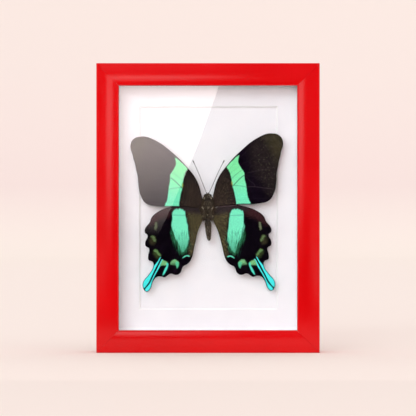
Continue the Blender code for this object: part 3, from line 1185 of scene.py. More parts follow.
def distance(points: np.ndarray, starts: np.ndarray, ends: np.ndarray) -> tuple[np.ndarray, np.ndarray]:
    """Measure how far points are from the nearest of several stretches.

    Args:
        points: The points, one row each.
        starts: Where each stretch starts.
        ends: Where each stretch ends.

    Returns:
        The distance of each point, and the nearest place on the stretches.
    """
    best = np.full(len(points), np.inf)
    place = np.zeros_like(points)
    for start, end in zip(starts, ends):
        run = end - start
        share = np.clip(((points - start) @ run) / max(float(run @ run), 1e-12), 0.0, 1.0)
        near = start + share[:, None] * run
        gap = np.hypot(*(points - near).T)
        closer = gap < best
        best[closer] = gap[closer]
        place[closer] = near[closer]
    return best, place


def inwards(points: np.ndarray, starts: np.ndarray, ends: np.ndarray) -> np.ndarray:
    """Measure the distance to a closed outline, positive inside it.

    Args:
        points: The points, one row each.
        starts: Where each stretch of the outline starts.
        ends: Where each stretch ends.

    Returns:
        The signed distance of each point.
    """
    gap, _ = distance(points, starts, ends)
    inside = np.zeros(len(points), bool)
    for (x0, y0), (x1, y1) in zip(starts, ends):
        if y0 != y1:
            crosses = (points[:, 1] < max(y0, y1)) & (points[:, 1] >= min(y0, y1))
            at = x0 + (points[:, 1] - y0) * (x1 - x0) / (y1 - y0)
            inside ^= crosses & (points[:, 0] < at)
    return np.where(inside, gap, -gap)


@dataclass(frozen=True)
class Vein:
    """One vein of a wing: its route in the wing's plan, and its half-width at both ends, in mm."""

    route: Route
    root: float = 0.34
    tip: float = 0.2
    pale: float = 0.06
    dark: float = 0.12


@dataclass(frozen=True)
class WingPlan:
    """A kind of wing: where it sits, how its veins run and what it is marked with."""

    word: str
    depth: float
    rise: dict
    veins: tuple[Vein, ...]
    scales: WingScales
    camber: float = 0.35
    root: Point = (3.8, 3.0)
    notch: float = 0.0
    brush: Point = (3.8, 3.0)


FOREWING_VEINS = (
    Vein(((3.8, 6.5), (9.0, 18.3), (17.0, 28.3), (26.0, 37.3), (36.0, 45.2), (44.5, 49.6)), 0.45),
    Vein(((4.2, 4.6), (12.0, 9.8), (18.3, 15.2), (23.5, 20.4), (29.0, 24.2)), 0.36, 0.26, dark=0.95),
    Vein(((9.0, 18.3), (18.4, 25.4), (26.0, 31.0), (30.5, 32.6))),
    Vein(((12.0, 15.4), (18.1, 21.0), (22.7, 24.8), (27.0, 27.0)), 0.26, 0.22, dark=0.5),
    Vein(((30.5, 32.6), (30.8, 28.6), (29.0, 24.2))),
    Vein(((30.5, 32.6), (38.0, 40.0), (48.5, 49.8))),
    Vein(((30.5, 32.6), (40.0, 38.6), (52.3, 44.5))),
    Vein(((30.8, 28.6), (41.0, 32.0), (51.9, 36.0))),
    Vein(((29.0, 24.2), (40.0, 26.2), (50.4, 28.2)), pale=0.16),
    Vein(((26.5, 22.6), (30.3, 18.3), (33.0, 16.2), (33.8, 14.2)), 0.15, 0.2, pale=0.28),
    Vein(((26.5, 22.6), (36.0, 21.0), (48.7, 19.5))),
    Vein(
        ((18.3, 15.2), (21.5, 15.2), (27.9, 14.2), (33.8, 14.1), (40.0, 13.2), (46.8, 12.4)),
        0.24, 0.22, pale=0.36, dark=0.55,
    ),
    Vein(((4.2, 3.4), (15.0, 5.0), (25.0, 5.2), (43.5, 6.0)), 0.4),
)

FOREWING_MARKS = (
    Mark(
        "outer",
        ((30, 47), (44, 56), (58, 54), (56, 30), (51, 14), (46, 4), (40, 16), (33, 26)),
        "#211a1b", soft=5.0, fray=1.8,
    ),
    Mark(
        "apical",
        ((41, 50), (46, 56), (58, 54), (56, 30), (53, 27), (47, 38)),
        "#383324", soft=5.0, fray=1.5,
    ),
    Mark(
        "basal",
        ((1, 10), (6, 24), (13, 30), (16.2, 24), (16.6, 18), (18.2, 12), (19.6, 4), (20, -2), (1, -2)),
        "#221b1a", soft=0.9, fray=0.5,
    ),
    Mark(
        "gold",
        ((1, 6), (6, 14), (12, 20), (15.5, 17), (16.5, 12), (19, 5), (20, -2), (1, -2)),
        "#4d4033", soft=5.0, fray=1.2, density=0.6, streak=0.6,
    ),
    Mark(
        "dusting",
        ((34, 40), (44, 54), (58, 54), (56, 30), (50, 10), (44, 8), (40, 16), (36, 24)),
        "#332f27", soft=5.0, fray=1.0, density=0.4, streak=0.5,
    ),
    Mark(
        "band",
        (
            (22.8, 36.6), (22.4, 35.0), (22.1, 31.6), (24.0, 27.8), (26.2, 24.2), (26.4, 20.1), (27.4, 15.7),
            (27.9, 11.3), (28.4, 7.6), (29.1, 5.4), (29.9, 3.8), (30.2, 0.0), (20.7, 0.0), (20.3, 3.0),
            (19.7, 6.9), (18.8, 11.3), (17.9, 14.4), (17.4, 17.9), (16.8, 21.6), (15.5, 25.8), (13.9, 28.5),
            (16.6, 31.4), (19.0, 33.7), (20.8, 35.4),
        ),
        "#82eea8", "#76eebf", 8.0, 26.0, soft=0.3, fray=0.3, streak=0.3,
    ),
    Mark(
        "moss",
        ((17.2, 17.6), (17.6, 18.2), (18.0, 16.8), (17.9, 15.4), (17.5, 15.6)),
        "#a3a83c", soft=0.45,
    ),
)

HINDWING_VEINS = (
    Vein(((3.8, -2.6), (12.0, -0.4), (24.0, -1.2), (36.0, -4.8), (41.0, -9.3)), 0.4),
    Vein(((4.0, -4.2), (14.0, -5.3), (20.0, -5.3), (25.0, -5.2), (28.0, -6.0)), 0.24, 0.22, dark=0.5),
    Vein(((28.0, -6.0), (36.0, -10.5), (44.3, -16.0))),
    Vein(((25.4, -9.6), (34.0, -15.5), (44.2, -25.2))),
    Vein(((25.2, -13.4), (33.0, -22.0), (42.2, -34.8))),
    Vein(((23.5, -16.6), (30.0, -27.5), (34.6, -37.2), (39.6, -48.0), (45.2, -57.0)), 0.3, 0.3),
    Vein(((19.4, -18.2), (25.4, -31.0), (32.4, -47.8))),
    Vein(((14.4, -16.4), (19.4, -30.0), (24.6, -46.6))),
    Vein(((4.6, -6.6), (8.6, -20.0), (13.8, -36.6))),
    Vein(((26.5, -6.2), (25.4, -9.6), (25.2, -13.4), (23.5, -16.6), (19.4, -18.2), (14.4, -16.4)), 0.24, 0.24),
    Vein(((4.2, -5.2), (9.6, -10.8), (14.4, -16.4)), 0.4),
)

HINDWING_MARKS = (
    Mark(
        "wine",
        ((22, 4), (34, 1), (42, -6), (44, -12), (40, -12), (34, -8), (28, -6), (24, -1)),
        "#361c20", soft=2.0, fray=1.0,
    ),
    Mark(
        "inner",
        (
            (2, 4), (18, 4), (15.2, -3), (13.8, -10), (13.0, -18), (13.0, -26), (14.0, -32.6), (12, -34),
            (2, -22),
        ),
        "#393225", soft=1.2, fray=0.8,
    ),
    Mark(
        "gilt",
        ((2, -1), (14, -3), (13, -12), (12.6, -22), (13.6, -31), (11, -33), (5, -16)),
        "#5d5637", soft=2.4, fray=0.8, density=0.7, streak=0.35,
    ),
    Mark(
        "shade",
        ((3, 2), (8, 4), (20, 4), (27, 1.8), (28, -2.0), (20, -2.0), (12, -4.0), (3, -4.6)),
        "#2f2728", soft=2.4, fray=0.5,
    ),
    Mark(
        "hem",
        ((3, 0.0), (10, 0.8), (19.5, 1.4), (20, 1.9), (10, 1.4), (3, 0.6)),
        "#5a4a4e", soft=0.3, fray=0.1,
    ),
    Mark(
        "feather",
        (
            (25.2, -13.0), (26.1, -18.0), (25.2, -22.4), (23.4, -25.6), (21.6, -29.2), (20.2, -32.6),
            (18.4, -33.4), (16.2, -31.8), (14.6, -28.8), (15.4, -26.0), (19.0, -22.0), (22.0, -16.0),
        ),
        "#245a3c", soft=1.2, fray=1.3, streak=0.09, coarse=1.0,
    ),
    Mark(
        "patch",
        (
            (15.6, -6.4), (16.2, -3.2), (17.8, -1.3), (20.5, -0.8), (23.1, -1.4), (24.8, -2.8), (25.2, -5.6),
            (25.4, -10.0), (25.5, -13.4), (24.7, -17.0), (23.6, -20.4), (21.8, -24.0), (20.2, -27.6),
            (19.2, -30.8), (18.0, -31.6), (16.4, -29.6), (14.8, -26.2), (13.8, -23.0), (13.7, -20.0),
            (14.2, -15.6), (14.8, -11.2),
        ),
        "#7bf0c6", "#50b08c", -31.0, -17.0, soft=0.55, fray=0.6, streak=0.09,
    ),
    Mark(
        "fingers",
        (
            (13.0, -21.0), (16.0, -17.0), (20.0, -16.5), (24.8, -14.0), (25.6, -19.0), (23.0, -26.0),
            (20.5, -32.0), (18.0, -34.0), (14.6, -29.0),
        ),
        "#34906a", soft=3.5, fray=1.0, streak=0.1, density=0.45,
    ),
    Mark(
        "lunule_a",
        ((36.2, -10.4), (37.2, -10.2), (37.6, -12.4), (38.0, -14.8), (37.0, -15.8), (36.4, -13.6)),
        "#667054", soft=0.7, fray=0.5,
    ),
    Mark(
        "olive_b",
        ((38.0, -20.0), (40.6, -20.6), (42.2, -23.4), (40.8, -26.0), (38.2, -26.0), (37.0, -23.4)),
        "#2b281b", soft=1.1, fray=0.4,
    ),
    Mark(
        "lunule_b",
        ((37.2, -23.6), (37.8, -21.0), (39.0, -19.7), (40.6, -20.2), (39.6, -21.2), (38.4, -23.4)),
        "#60784c", soft=0.9, fray=0.4,
    ),
    Mark(
        "olive_c",
        (
            (37.0, -29.4), (38.8, -30.2), (39.4, -32.0), (38.0, -34.0), (36.6, -35.8), (34.8, -35.8),
            (34.2, -33.8),
        ),
        "#2f3a1f", soft=1.0, fray=0.4,
    ),
    Mark(
        "lunule_c",
        (
            (33.8, -34.0), (34.8, -31.8), (36.6, -29.6), (38.6, -29.8), (38.2, -30.9), (36.8, -31.4),
            (35.4, -33.4),
        ),
        "#608850", soft=0.7, fray=0.3,
    ),
    Mark(
        "stripe_low",
        (
            (32.3, -36.8), (33.5, -39.7), (36.0, -43.9), (38.3, -47.9), (40.0, -51.2), (41.0, -54.6),
            (42.0, -57.2), (43.8, -58.8), (45.4, -58.4), (44.9, -56.8), (41.8, -53.2), (39.1, -47.8),
            (36.4, -42.8), (34.6, -39.2), (33.2, -36.6),
        ),
        "#48f0ee", soft=0.18, fray=0.06,
    ),
    Mark(
        "stripe_high",
        (
            (33.7, -34.6), (34.2, -35.8), (35.7, -38.8), (37.4, -41.9), (40.1, -47.3), (42.8, -52.7),
            (46.0, -56.6), (47.0, -55.2), (47.4, -53.0), (46.6, -50.8), (44.6, -48.4), (42.0, -45.1),
            (39.4, -41.9), (37.4, -39.4), (35.8, -37.4), (34.6, -35.2),
        ),
        "#48f0ee", soft=0.18, fray=0.06,
    ),
    Mark(
        "cap_d",
        (
            (28.9, -39.8), (29.6, -38.3), (31.2, -37.4), (32.8, -36.9), (33.6, -38.4), (34.4, -40.8),
            (32.4, -40.8), (30.4, -40.8),
        ),
        "#76bc78", "#10120c", -43.0, -39.6, soft=0.55, fray=0.25,
    ),
    Mark(
        "line_d",
        (
            (28.6, -39.3), (28.9, -41.6), (30.2, -44.7), (31.6, -46.8), (32.8, -47.7), (32.4, -46.0),
            (31.2, -43.3), (30.0, -41.0), (29.8, -39.0),
        ),
        "#55e6cc", soft=0.35, fray=0.1,
    ),
    Mark(
        "cap_e",
        (
            (21.0, -39.4), (21.8, -37.9), (23.4, -36.8), (25.2, -36.9), (26.5, -38.2), (27.2, -40.2),
            (25.4, -40.6), (23.0, -41.2),
        ),
        "#74b87c", "#10120c", -41.2, -38.6, soft=0.55, fray=0.25,
    ),
    Mark(
        "line_e",
        (
            (21.1, -39.4), (21.4, -41.4), (22.4, -42.9), (22.9, -41.5), (23.5, -39.8), (23.4, -38.4),
            (22.0, -38.2),
        ),
        "#58cc9a", soft=0.5, fray=0.1,
    ),
    Mark(
        "crescent",
        (
            (13.2, -34.4), (14.4, -33.7), (16.4, -33.9), (18.2, -35.1), (18.4, -35.9), (16.8, -35.0),
            (15.2, -34.5), (13.8, -34.9),
        ),
        "#66e2bc", soft=0.2, fray=0.1,
    ),
)


@dataclass
class Wing:
    """One wing: a thin membrane with raised veins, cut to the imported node's outline."""

    plan: WingPlan
    side: Side
    origin: Vector
    cell: float = 0.36
    thickness: float = 0.12 * MM
    vein_height: float = 0.1
    pleat_height: float = 0.1
    turn: float = radians(0.9)
    dihedral: float = radians(2.0)
    # The scale rows fan out from the root; this many millimetres stand for one radian of the fan.
    rows_across: float = 24.0

    @property
    def node(self) -> str:
        """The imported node's name."""
        return f"{self.plan.word}_{self.side.word}"

    def placement(self) -> Matrix:
        """Give the matrix that takes the wing's flat plan, in millimetres, to its place.

        Returns:
            The matrix.
        """
        place = self.origin + Vector((0.0, self.plan.depth, self.plan.rise[self.side]))
        turned = (
            Matrix.Rotation(-self.side.value * self.dihedral, 4, "Z")
            @ Matrix.Rotation(-self.turn, 4, "Y")
            @ Matrix.Rotation(pi / 2, 4, "X")
        )
        return Matrix.Translation(place) @ turned @ Matrix.Diagonal((self.side.value * MM, MM, MM, 1.0))

    def rim(self) -> tuple[np.ndarray, np.ndarray]:
        """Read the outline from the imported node's front face.

        Returns:
            The starts and the ends of the outline's stretches, in the plan's millimetres.
        """
        work = bmesh.new()
        work.from_mesh(bpy.data.objects[self.node].data)
        bmesh.ops.remove_doubles(work, verts=work.verts, dist=WELD)
        lay_out(work, self.placement().inverted())
        work.normal_update()
        mirrored = float(self.side.value)
        front = {f for f in work.faces if f.normal.z * mirrored > 0.5}
        edges = [e for e in work.edges if sum(f in front for f in e.link_faces) == 1]
        starts = np.array([e.verts[0].co.xy for e in edges], float)
        ends = np.array([e.verts[1].co.xy for e in edges], float)
        work.free()
        return starts, ends

    def membrane(self, starts: np.ndarray, ends: np.ndarray) -> tuple[BMesh, np.ndarray]:
        """Cut a fine grid to the outline and draw its border onto the outline.

        Args:
            starts: Where the outline's stretches start.
            ends: Where they end.

        Returns:
            The flat membrane, and its points in the plan.
        """
        low, high = starts.min(0) - self.cell, starts.max(0) + self.cell
        counts = [int(n) for n in np.ceil((high - low) / self.cell)]
        work = bmesh.new()
        bmesh.ops.create_grid(work, x_segments=counts[0], y_segments=counts[1], size=0.5)
        lay_out(work, Matrix.Translation((*((low + high) / 2), 0.0)), sized((*(high - low), 1.0)))
        centres = np.array([f.calc_center_median().xy for f in work.faces], float)
        outside = inwards(centres, starts, ends) < 0
        spare = [f for f, out in zip(work.faces[:], outside) if out]
        bmesh.ops.delete(work, geom=spare, context="FACES")
        border = [v for v in work.verts if v.is_boundary]
        _, near = distance(np.array([v.co.xy for v in border], float), starts, ends)
        for vert, place in zip(border, near):
            vert.co.xy = place
        ring = {v for b in border for e in b.link_edges for v in e.verts} - set(border)
        bmesh.ops.smooth_vert(work, verts=list(ring), factor=0.5, use_axis_x=True, use_axis_y=True)
        work.verts.index_update()
        return work, np.array([v.co.xy for v in work.verts], float)

    def vein_field(self, points: np.ndarray) -> tuple[np.ndarray, np.ndarray, np.ndarray, np.ndarray]:
        """Measure the veins at each point.

        Args:
            points: Points in the plan.

        Returns:
            The veins' ridge, 0 to 1, how far they show pale and dark, and the distance to the nearest.
        """
        ridge, pale, dark = (np.zeros(len(points)) for _ in range(3))
        nearest = np.full(len(points), np.inf)
        for vein in self.plan.veins:
            line = open_curve(vein.route)
            widths = np.linspace(vein.root, vein.tip, len(line) - 1)
            for start, end, width in zip(line, line[1:], widths):
                gap, _ = distance(points, start[None], end[None])
                strength = np.exp(-((gap / width) ** 2))
                ridge = np.maximum(ridge, strength)
                pale = np.maximum(pale, strength * vein.pale)
                dark = np.maximum(dark, strength * vein.dark)
                nearest = np.minimum(nearest, gap)
        return ridge, pale, dark, nearest

    def notched(self, starts: np.ndarray, ends: np.ndarray) -> tuple[np.ndarray, np.ndarray]:
        """Divide the outline finely and draw it in a little between the veins of the outer margin.

        Args:
            starts: Where the outline's stretches start.
            ends: Where they end.

        Returns:
            The new starts and ends.
        """
        pieces = []
        for start, end in zip(starts, ends):
            count = max(1, int(np.ceil(np.hypot(*(end - start)) / 0.5)))
            steps = np.linspace(0, 1, count + 1)[:, None]
            run = start + steps * (end - start)
            pieces.append(np.stack([run[:-1], run[1:]], 1))
        fine = np.concatenate(pieces).reshape(-1, 2)
        nearest = self.vein_field(fine)[3]
        arm = fine - np.array(self.plan.root)
        notch = self.plan.notch * smoothstep(nearest, 0.4, 2.6) * smoothstep(fine[:, 0], 44.5, 47.5)
        fine = fine - arm / np.hypot(*arm.T)[:, None] * notch[:, None]
        paired = fine.reshape(-1, 2, 2)
        return paired[:, 0], paired[:, 1]

    def build(self) -> Object:
        """Build the wing.

        Returns:
            The wing's object.
        """
        starts, ends = self.notched(*self.rim())
        work, points = self.membrane(starts, ends)
        depth = inwards(points, starts, ends)
        vein, pale, dark, nearest = self.vein_field(points)
        arm = points - np.array(self.plan.root)
        reach = np.hypot(*arm.T)
        bare_rim = depth + 2.0 * (1 - smoothstep(points[:, 0], 5.0, 9.0))
        camber = self.plan.camber * np.sin(np.clip(reach / 60, 0, 1) * pi)
        pleat = self.pleat_height * np.clip(nearest / 4, 0, 1) ** 1.5
        height = camber - pleat + self.vein_height * vein * smoothstep(depth, 0.0, 1.2)
        for vert, lift in zip(work.verts, height):
            vert.co.z = float(lift)
        lay_out(work, self.placement())
        if self.side is Side.LEFT:
            bmesh.ops.reverse_faces(work, faces=work.faces)
        scales = bpy.data.materials[self.plan.scales.name]
        piece = add_piece(work, self.node + "_scaled", [scales], (self.node,), radians(80))
        seed = np.full(len(points), 0.0 if self.side is Side.LEFT else 40.0)
        sweep = points - np.array(self.plan.brush)
        self.paint(piece, "plan", np.column_stack([points, seed]))
        for name, ray in (("grain", arm), ("brush", sweep)):
            lie = np.arctan2(ray[:, 1], ray[:, 0]) * self.rows_across
            self.paint(piece, name, np.column_stack([np.hypot(*ray.T), lie, seed]))
        for name, values in (("vein_pale", pale), ("vein_dark", dark), ("depth", bare_rim)):
            self.paint(piece, name, values)
        for mark in self.plan.scales.marks:
            curve = closed_curve(mark.outline)
            self.paint(piece, mark.name, inwards(points, curve, np.roll(curve, -1, 0)))
        shell = piece.modifiers.new("thickness", "SOLIDIFY")
        shell.thickness = self.thickness
        shell.offset = -1.0
        return piece

    def paint(self, piece: Object, name: str, values: np.ndarray) -> None:
        """Store one value or vector for each point of the wing.

        Args:
            piece: The wing.
            name: The attribute's name.
            values: The values, in the order of the points.
        """
        kind, key = ("FLOAT", "value") if values.ndim == 1 else ("FLOAT_VECTOR", "vector")
        layer = piece.data.attributes.new(name, kind, "POINT")
        layer.data.foreach_set(key, values.astype(np.float32).ravel())


@dataclass(frozen=True)
class HairCoat:
    """A coat of hairs: how many, how long and thick in millimetres, and how they lie."""

    name: str
    count: int
    length: Point
    radius: float
    lift: float
    tone: Point
    curl: float = 0.25
    seed: int = 1

    def template(self) -> tuple[np.ndarray, list[tuple[int, ...]], np.ndarray]:
        """Model one hair, a unit long along Z, from a thin cone.

        Returns:
            Its points, its faces and each point's share of the length.
        """
        work = bmesh.new()
        bmesh.ops.create_cone(work, cap_ends=True, segments=3, radius1=1.0, radius2=0.2, depth=1.0)
        bmesh.ops.translate(work, verts=work.verts, vec=(0.0, 0.0, 0.5))
        long_edges = [e for e in work.edges if abs(e.verts[0].co.z - e.verts[1].co.z) > 0.5]
        bmesh.ops.subdivide_edges(work, edges=long_edges, cuts=2)
        work.verts.index_update()
        points = np.array([v.co for v in work.verts], float)
        faces = [tuple(v.index for v in f.verts) for f in work.faces]
        work.free()
        return points, faces, points[:, 2].copy()

    def grow(self, roots: np.ndarray, normals: np.ndarray, flow: np.ndarray, material: Material) -> Object:
        """Grow the coat as one joined mesh.

        Args:
            roots: Where the hairs stand, in metres, one row each.
            normals: The skin's direction at each root, or one for all.
            flow: The direction in which the hairs lie, or one for each.
            material: The hairs' material.

        Returns:
            The coat's object.
        """
        rng = np.random.default_rng(self.seed)
        count = len(roots)
        stray = rng.normal(0.0, 0.22, (count, 3))
        along = flow + normals * self.lift + stray
        along /= np.linalg.norm(along, axis=1)[:, None]
        side = np.cross(along, normals + 0.01)
        side /= np.linalg.norm(side, axis=1)[:, None] + 1e-9
        over = np.cross(side, along)
        length = rng.uniform(*self.length, count) * MM
        points, faces, share = self.template()
        thick = self.radius * MM * (1 - 0.55 * share)
        local = points[None, :, :2] * thick[None, :, None]
        bend = self.curl * (share**2)[None, :, None] * length[:, None, None]
        world = (
            roots[:, None, :]
            + along[:, None, :] * (points[None, :, 2:] * length[:, None, None])
            + side[:, None, :] * local[:, :, :1]
            + over[:, None, :] * (local[:, :, 1:] - bend)
        )
        shift = len(points)
        joined = [tuple(i + h * shift for i in f) for h in range(count) for f in faces]
        mesh = bpy.data.meshes.new(self.name)
        mesh.from_pydata(world.reshape(-1, 3), [], joined)
        tones = np.repeat(rng.uniform(*self.tone, count), shift)
        for name, values in (("tone", tones), ("tip", np.tile(share, count))):
            layer = mesh.attributes.new(name, "FLOAT", "POINT")
            layer.data.foreach_set("value", values.astype(np.float32))
        work = bmesh.new()
        work.from_mesh(mesh)
        bpy.data.meshes.remove(mesh)
        bmesh.ops.recalc_face_normals(work, faces=work.faces)
        return add_piece(work, self.name, [material], (), radians(60))


def ball_spread(count: int, seed: int) -> np.ndarray:
    """Spread directions evenly over a ball, with a little disorder.

    Args:
        count: How many.
        seed: Seed of the disorder.

    Returns:
        Unit vectors, one row each.
    """
    rng = np.random.default_rng(seed)
    index = np.arange(count) + 0.5
    height = 1 - 2 * index / count
    angle = index * pi * (1 + sqrt(5))
    ring = np.sqrt(1 - height**2)
    made = np.column_stack([np.cos(angle) * ring, np.sin(angle) * ring, height])
    made += rng.normal(0.0, 0.03, made.shape)
    return made / np.linalg.norm(made, axis=1)[:, None]


@dataclass
class Body:
    """Head, thorax and abdomen with their hair, eyes, palps and feelers."""

    hair: BodyHair = field(default_factory=BodyHair)
    cuticle: Chitin = field(default_factory=Chitin)
    rings: int = 9
    ring_depth: float = 0.06
    feeler_radius: float = 0.17 * MM
    feeler_joints: int = 34
    # An eye's half sizes as shares of the head's.
    eye_share: tuple[float, float, float] = (0.42, 0.62, 0.72)
    abdomen_lean: float = radians(3.6)
    # Radius and height below the abdomen's top, in mm.
    abdomen_profile: Route = (
        (1.5, -0.5), (2.2, -2.0), (2.3, -4.0), (2.0, -7.0), (1.8, -10.0), (1.2, -13.2), (0.35, -15.0),
    )
    # Each joint's name, its place from the thorax's middle and its half sizes, in mm.
    joints: tuple[tuple[str, tuple, tuple], ...] = (
        ("neck", (0.0, 0.0, 7.2), (2.3, 1.9, 1.9)),
        ("waist", (0.1, 0.0, -7.5), (2.2, 1.9, 1.9)),
        ("shoulder_left", (-2.6, 0.1, 4.3), (1.7, 1.2, 4.3)),
        ("shoulder_right", (2.7, 0.1, 4.3), (1.7, 1.2, 4.3)),
        ("hip_left", (-2.5, 0.1, -3.6), (1.7, 1.2, 4.6)),
        ("hip_right", (2.5, 0.1, -3.6), (1.7, 1.2, 4.6)),
    )
    # A feeler's way outwards and upwards, scaled to its node.
    feeler_route: Route = ((1.0, 10.5), (2.7, 14.4), (4.8, 19.4), (7.0, 24.6), (9.3, 29.6), (11.4, 33.8))

    def build(self, origin: Vector) -> None:
        """Build the whole body.

        Args:
            origin: The specimen's origin.
        """
        hair = self.hair.build()
        cuticle = self.cuticle.build()
        for node in ("thorax", "head"):
            middle, half = middle_and_half(node)
            self.lump(f"{node}_cuticle", middle, half * 0.93, cuticle, (node,))
        middle, _ = middle_and_half("thorax")
        for name, place, radii in self.joints:
            self.lump(name, middle + Vector(place) * MM, Vector(radii) * MM, cuticle)
        self.eyes(cuticle)
        self.abdomen(cuticle, origin)
        self.coats(hair, origin)
        feeler = Chitin("feeler_cuticle", "#1d1613", "#4a4038", 0.2 * MM, 0.45).build()
        for side in Side:
            self.feeler(side, feeler)

    def lump(
        self, name: str, middle: Vector, radii: Vector, material: Material, replaces: tuple = ()
    ) -> None:
        """Model a rounded body segment with a slightly uneven skin.

        Args:
            name: The piece's name.
            middle: Its middle.
            radii: Its half sizes.
            material: Its material.
            replaces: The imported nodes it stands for.
        """
        work = bmesh.new()
        bmesh.ops.create_uvsphere(work, u_segments=40, v_segments=28, radius=1.0)
        for vert in work.verts:
            vert.co *= 1 + 0.05 * noise.noise(vert.co * 2.6)
        lay_out(work, Matrix.Translation(middle), sized(radii))
        add_piece(work, name, [material], replaces, radians(80))

    def eyes(self, cuticle: Material) -> None:
        """Set the two facetted eyes and the two palps on the head.

        Args:
            cuticle: The palps' material.
        """
        middle, radii = middle_and_half("head")
        glossy = CompoundEye().build()
        for side in Side:
            work = bmesh.new()
            bmesh.ops.create_uvsphere(work, u_segments=28, v_segments=20, radius=1.0)
            place = middle + Vector((side.value * radii.x * 0.62, -radii.y * 0.2, 0.0))
            lay_out(work, Matrix.Translation(place), sized(r * s for r, s in zip(radii, self.eye_share)))
            add_piece(work, f"eye_{side.word}", [glossy], (), radians(80))
            work = bmesh.new()
            sizes = {"radius1": 0.42 * MM, "radius2": 0.2 * MM, "depth": 1.5 * MM}
            bmesh.ops.create_cone(work, cap_ends=True, segments=14, **sizes)
            bevel(work, [e for e in work.edges if len({round(v.co.z, 6) for v in e.verts}) == 1], 0.12 * MM, 2)
            tilt = Matrix.Rotation(side.value * radians(12), 4, "Y") @ Matrix.Rotation(radians(25), 4, "X")
            place = middle + Vector((side.value * 0.5 * MM, -0.3 * radii.y, radii.z * 0.95))
            lay_out(work, Matrix.Translation(place), tilt)
            add_piece(work, f"palp_{side.word}", [cuticle], (), radians(60))

    def abdomen_frame(self, origin: Vector) -> Matrix:
        """Give the matrix of the abdomen's own axis, which leans a little to one side.

        Args:
            origin: The specimen's origin.

        Returns:
            The matrix.
        """
        middle, _ = middle_and_half("thorax")
        place = Vector((middle.x, middle.y, origin.z - 8.0 * MM))
        return Matrix.Translation(place) @ Matrix.Rotation(-self.abdomen_lean, 4, "Y")

    def abdomen_radius(self, z: np.ndarray) -> np.ndarray:
        """Give the abdomen's radius at a depth below its top, both in millimetres."""
        curve = open_curve(self.abdomen_profile, 12)
        return np.interp(-z, -curve[:, 1], curve[:, 0])

    def abdomen(self, cuticle: Material, origin: Vector) -> None:
        """Spin the abdomen's profile with a groove between its rings.

        Args:
            cuticle: Its material.
            origin: The specimen's origin.
        """
        heights = np.linspace(-0.3, -15.1, 90)
        radii = self.abdomen_radius(heights)
        grooves = np.abs(np.sin(pi * self.rings * (heights + 0.3) / 14.8)) ** 0.5
        radii = radii * (1 - self.ring_depth + self.ring_depth * grooves)
        profile = [(0.0, -0.1), *zip(radii, heights), (0.0, -15.2)]
        work = spun([(x * MM, z * MM) for x, z in profile], Vector((0.0, 0.0, 1.0)), 32)
        bmesh.ops.recalc_face_normals(work, faces=work.faces)
        lay_out(work, self.abdomen_frame(origin))
        add_piece(work, "abdomen_rings", [cuticle], ("abdomen",), radians(50))

    def coats(self, hair: Material, origin: Vector) -> None:
        """Grow the coats of hair.

        Args:
            hair: Their material.
            origin: The specimen's origin.
        """
        for node, coat in (
            ("thorax", HairCoat("thorax_hair", 5600, (1.0, 2.2), 0.045, 0.4, (0.05, 0.88), 0.15, seed=3)),
            ("head", HairCoat("head_hair", 1700, (0.5, 1.2), 0.045, 0.8, (0.1, 0.95), 0.1, seed=4)),
        ):
            middle, radii = (np.array(v) for v in middle_and_half(node))
            radii = radii * 0.95
            unit = ball_spread(coat.count, coat.seed)
            normals = unit / radii
            normals /= np.linalg.norm(normals, axis=1)[:, None]
            coat.grow(middle + unit * radii, normals, DOWN, hair)
        self.abdomen_coat(hair, origin)
        self.flanks(hair)
        self.tufts(hair)

    def abdomen_coat(self, hair: Material, origin: Vector) -> None:
        """Lay short hair down the abdomen.

        Args:
            hair: The hair's material.
            origin: The specimen's origin.
        """
        coat = HairCoat("abdomen_hair", 3600, (0.5, 1.1), 0.045, 0.22, (0.3, 0.93), 0.1, 5)
        rng = np.random.default_rng(coat.seed)
        height = -0.4 - 14.2 * (np.arange(coat.count) + 0.5) / coat.count
        angle = np.arange(coat.count) * pi * (3 - sqrt(5)) + rng.normal(0, 0.1, coat.count)
        radius = self.abdomen_radius(height) * 0.97
        normals = np.column_stack([np.cos(angle), np.sin(angle), np.full(coat.count, -0.1)])
        local = np.column_stack([radius * np.cos(angle), radius * np.sin(angle), height]) * MM
        matrix = np.array(self.abdomen_frame(origin))
        roots = local @ matrix[:3, :3].T + matrix[:3, 3]
        coat.grow(roots, normals @ matrix[:3, :3].T, matrix[:3, :3] @ DOWN, hair)

    def flanks(self, hair: Material) -> None:
        """Grow the long fur of both flanks, which runs out over the roots of the wings.

        Args:
            hair: The fur's material.
        """
        middle = np.array(middle_and_half("thorax")[0])
        for side in Side:
            # The heights and lengths are in mm; the flow's first part points away from the body.
            for name, count, top, bottom, length, flow, tone, seed in (
                ("flank_fur", 3000, 8.0, -8.0, (1.1, 2.3), (0.55, -0.15, -0.7), (0.0, 0.78), 8),
                ("root_fur", 300, 1.0, -1.4, (1.6, 3.4), (1.0, -0.1, 0.04), (0.2, 0.72), 12),
            ):
                coat = HairCoat(f"{name}_{side.word}", count, length, 0.045, 0.2, tone, 0.12, seed + side.value)
                rng = np.random.default_rng(coat.seed)
                height = rng.uniform(bottom, top, count)
                wide = 3.9 * np.sqrt(1 - (height / 10.5) ** 2) * rng.uniform(0.7, 1.0, count)
                ahead = -1.35 * rng.uniform(0.0, 1.0, count) ** 0.5
                roots = middle + np.column_stack([side.value * wide, ahead, height]) * MM
                normal = np.array([side.value * 0.7, -0.7, 0.0])
                coat.grow(roots, normal, np.array([side.value * flow[0], *flow[1:]]), hair)

    def tufts(self, hair: Material) -> None:
        """Add pale tufts: at the wing roots, beside the head, and on the middle of the thorax.

        Args:
            hair: The tufts' material.
        """
        middle, _ = middle_and_half("thorax")
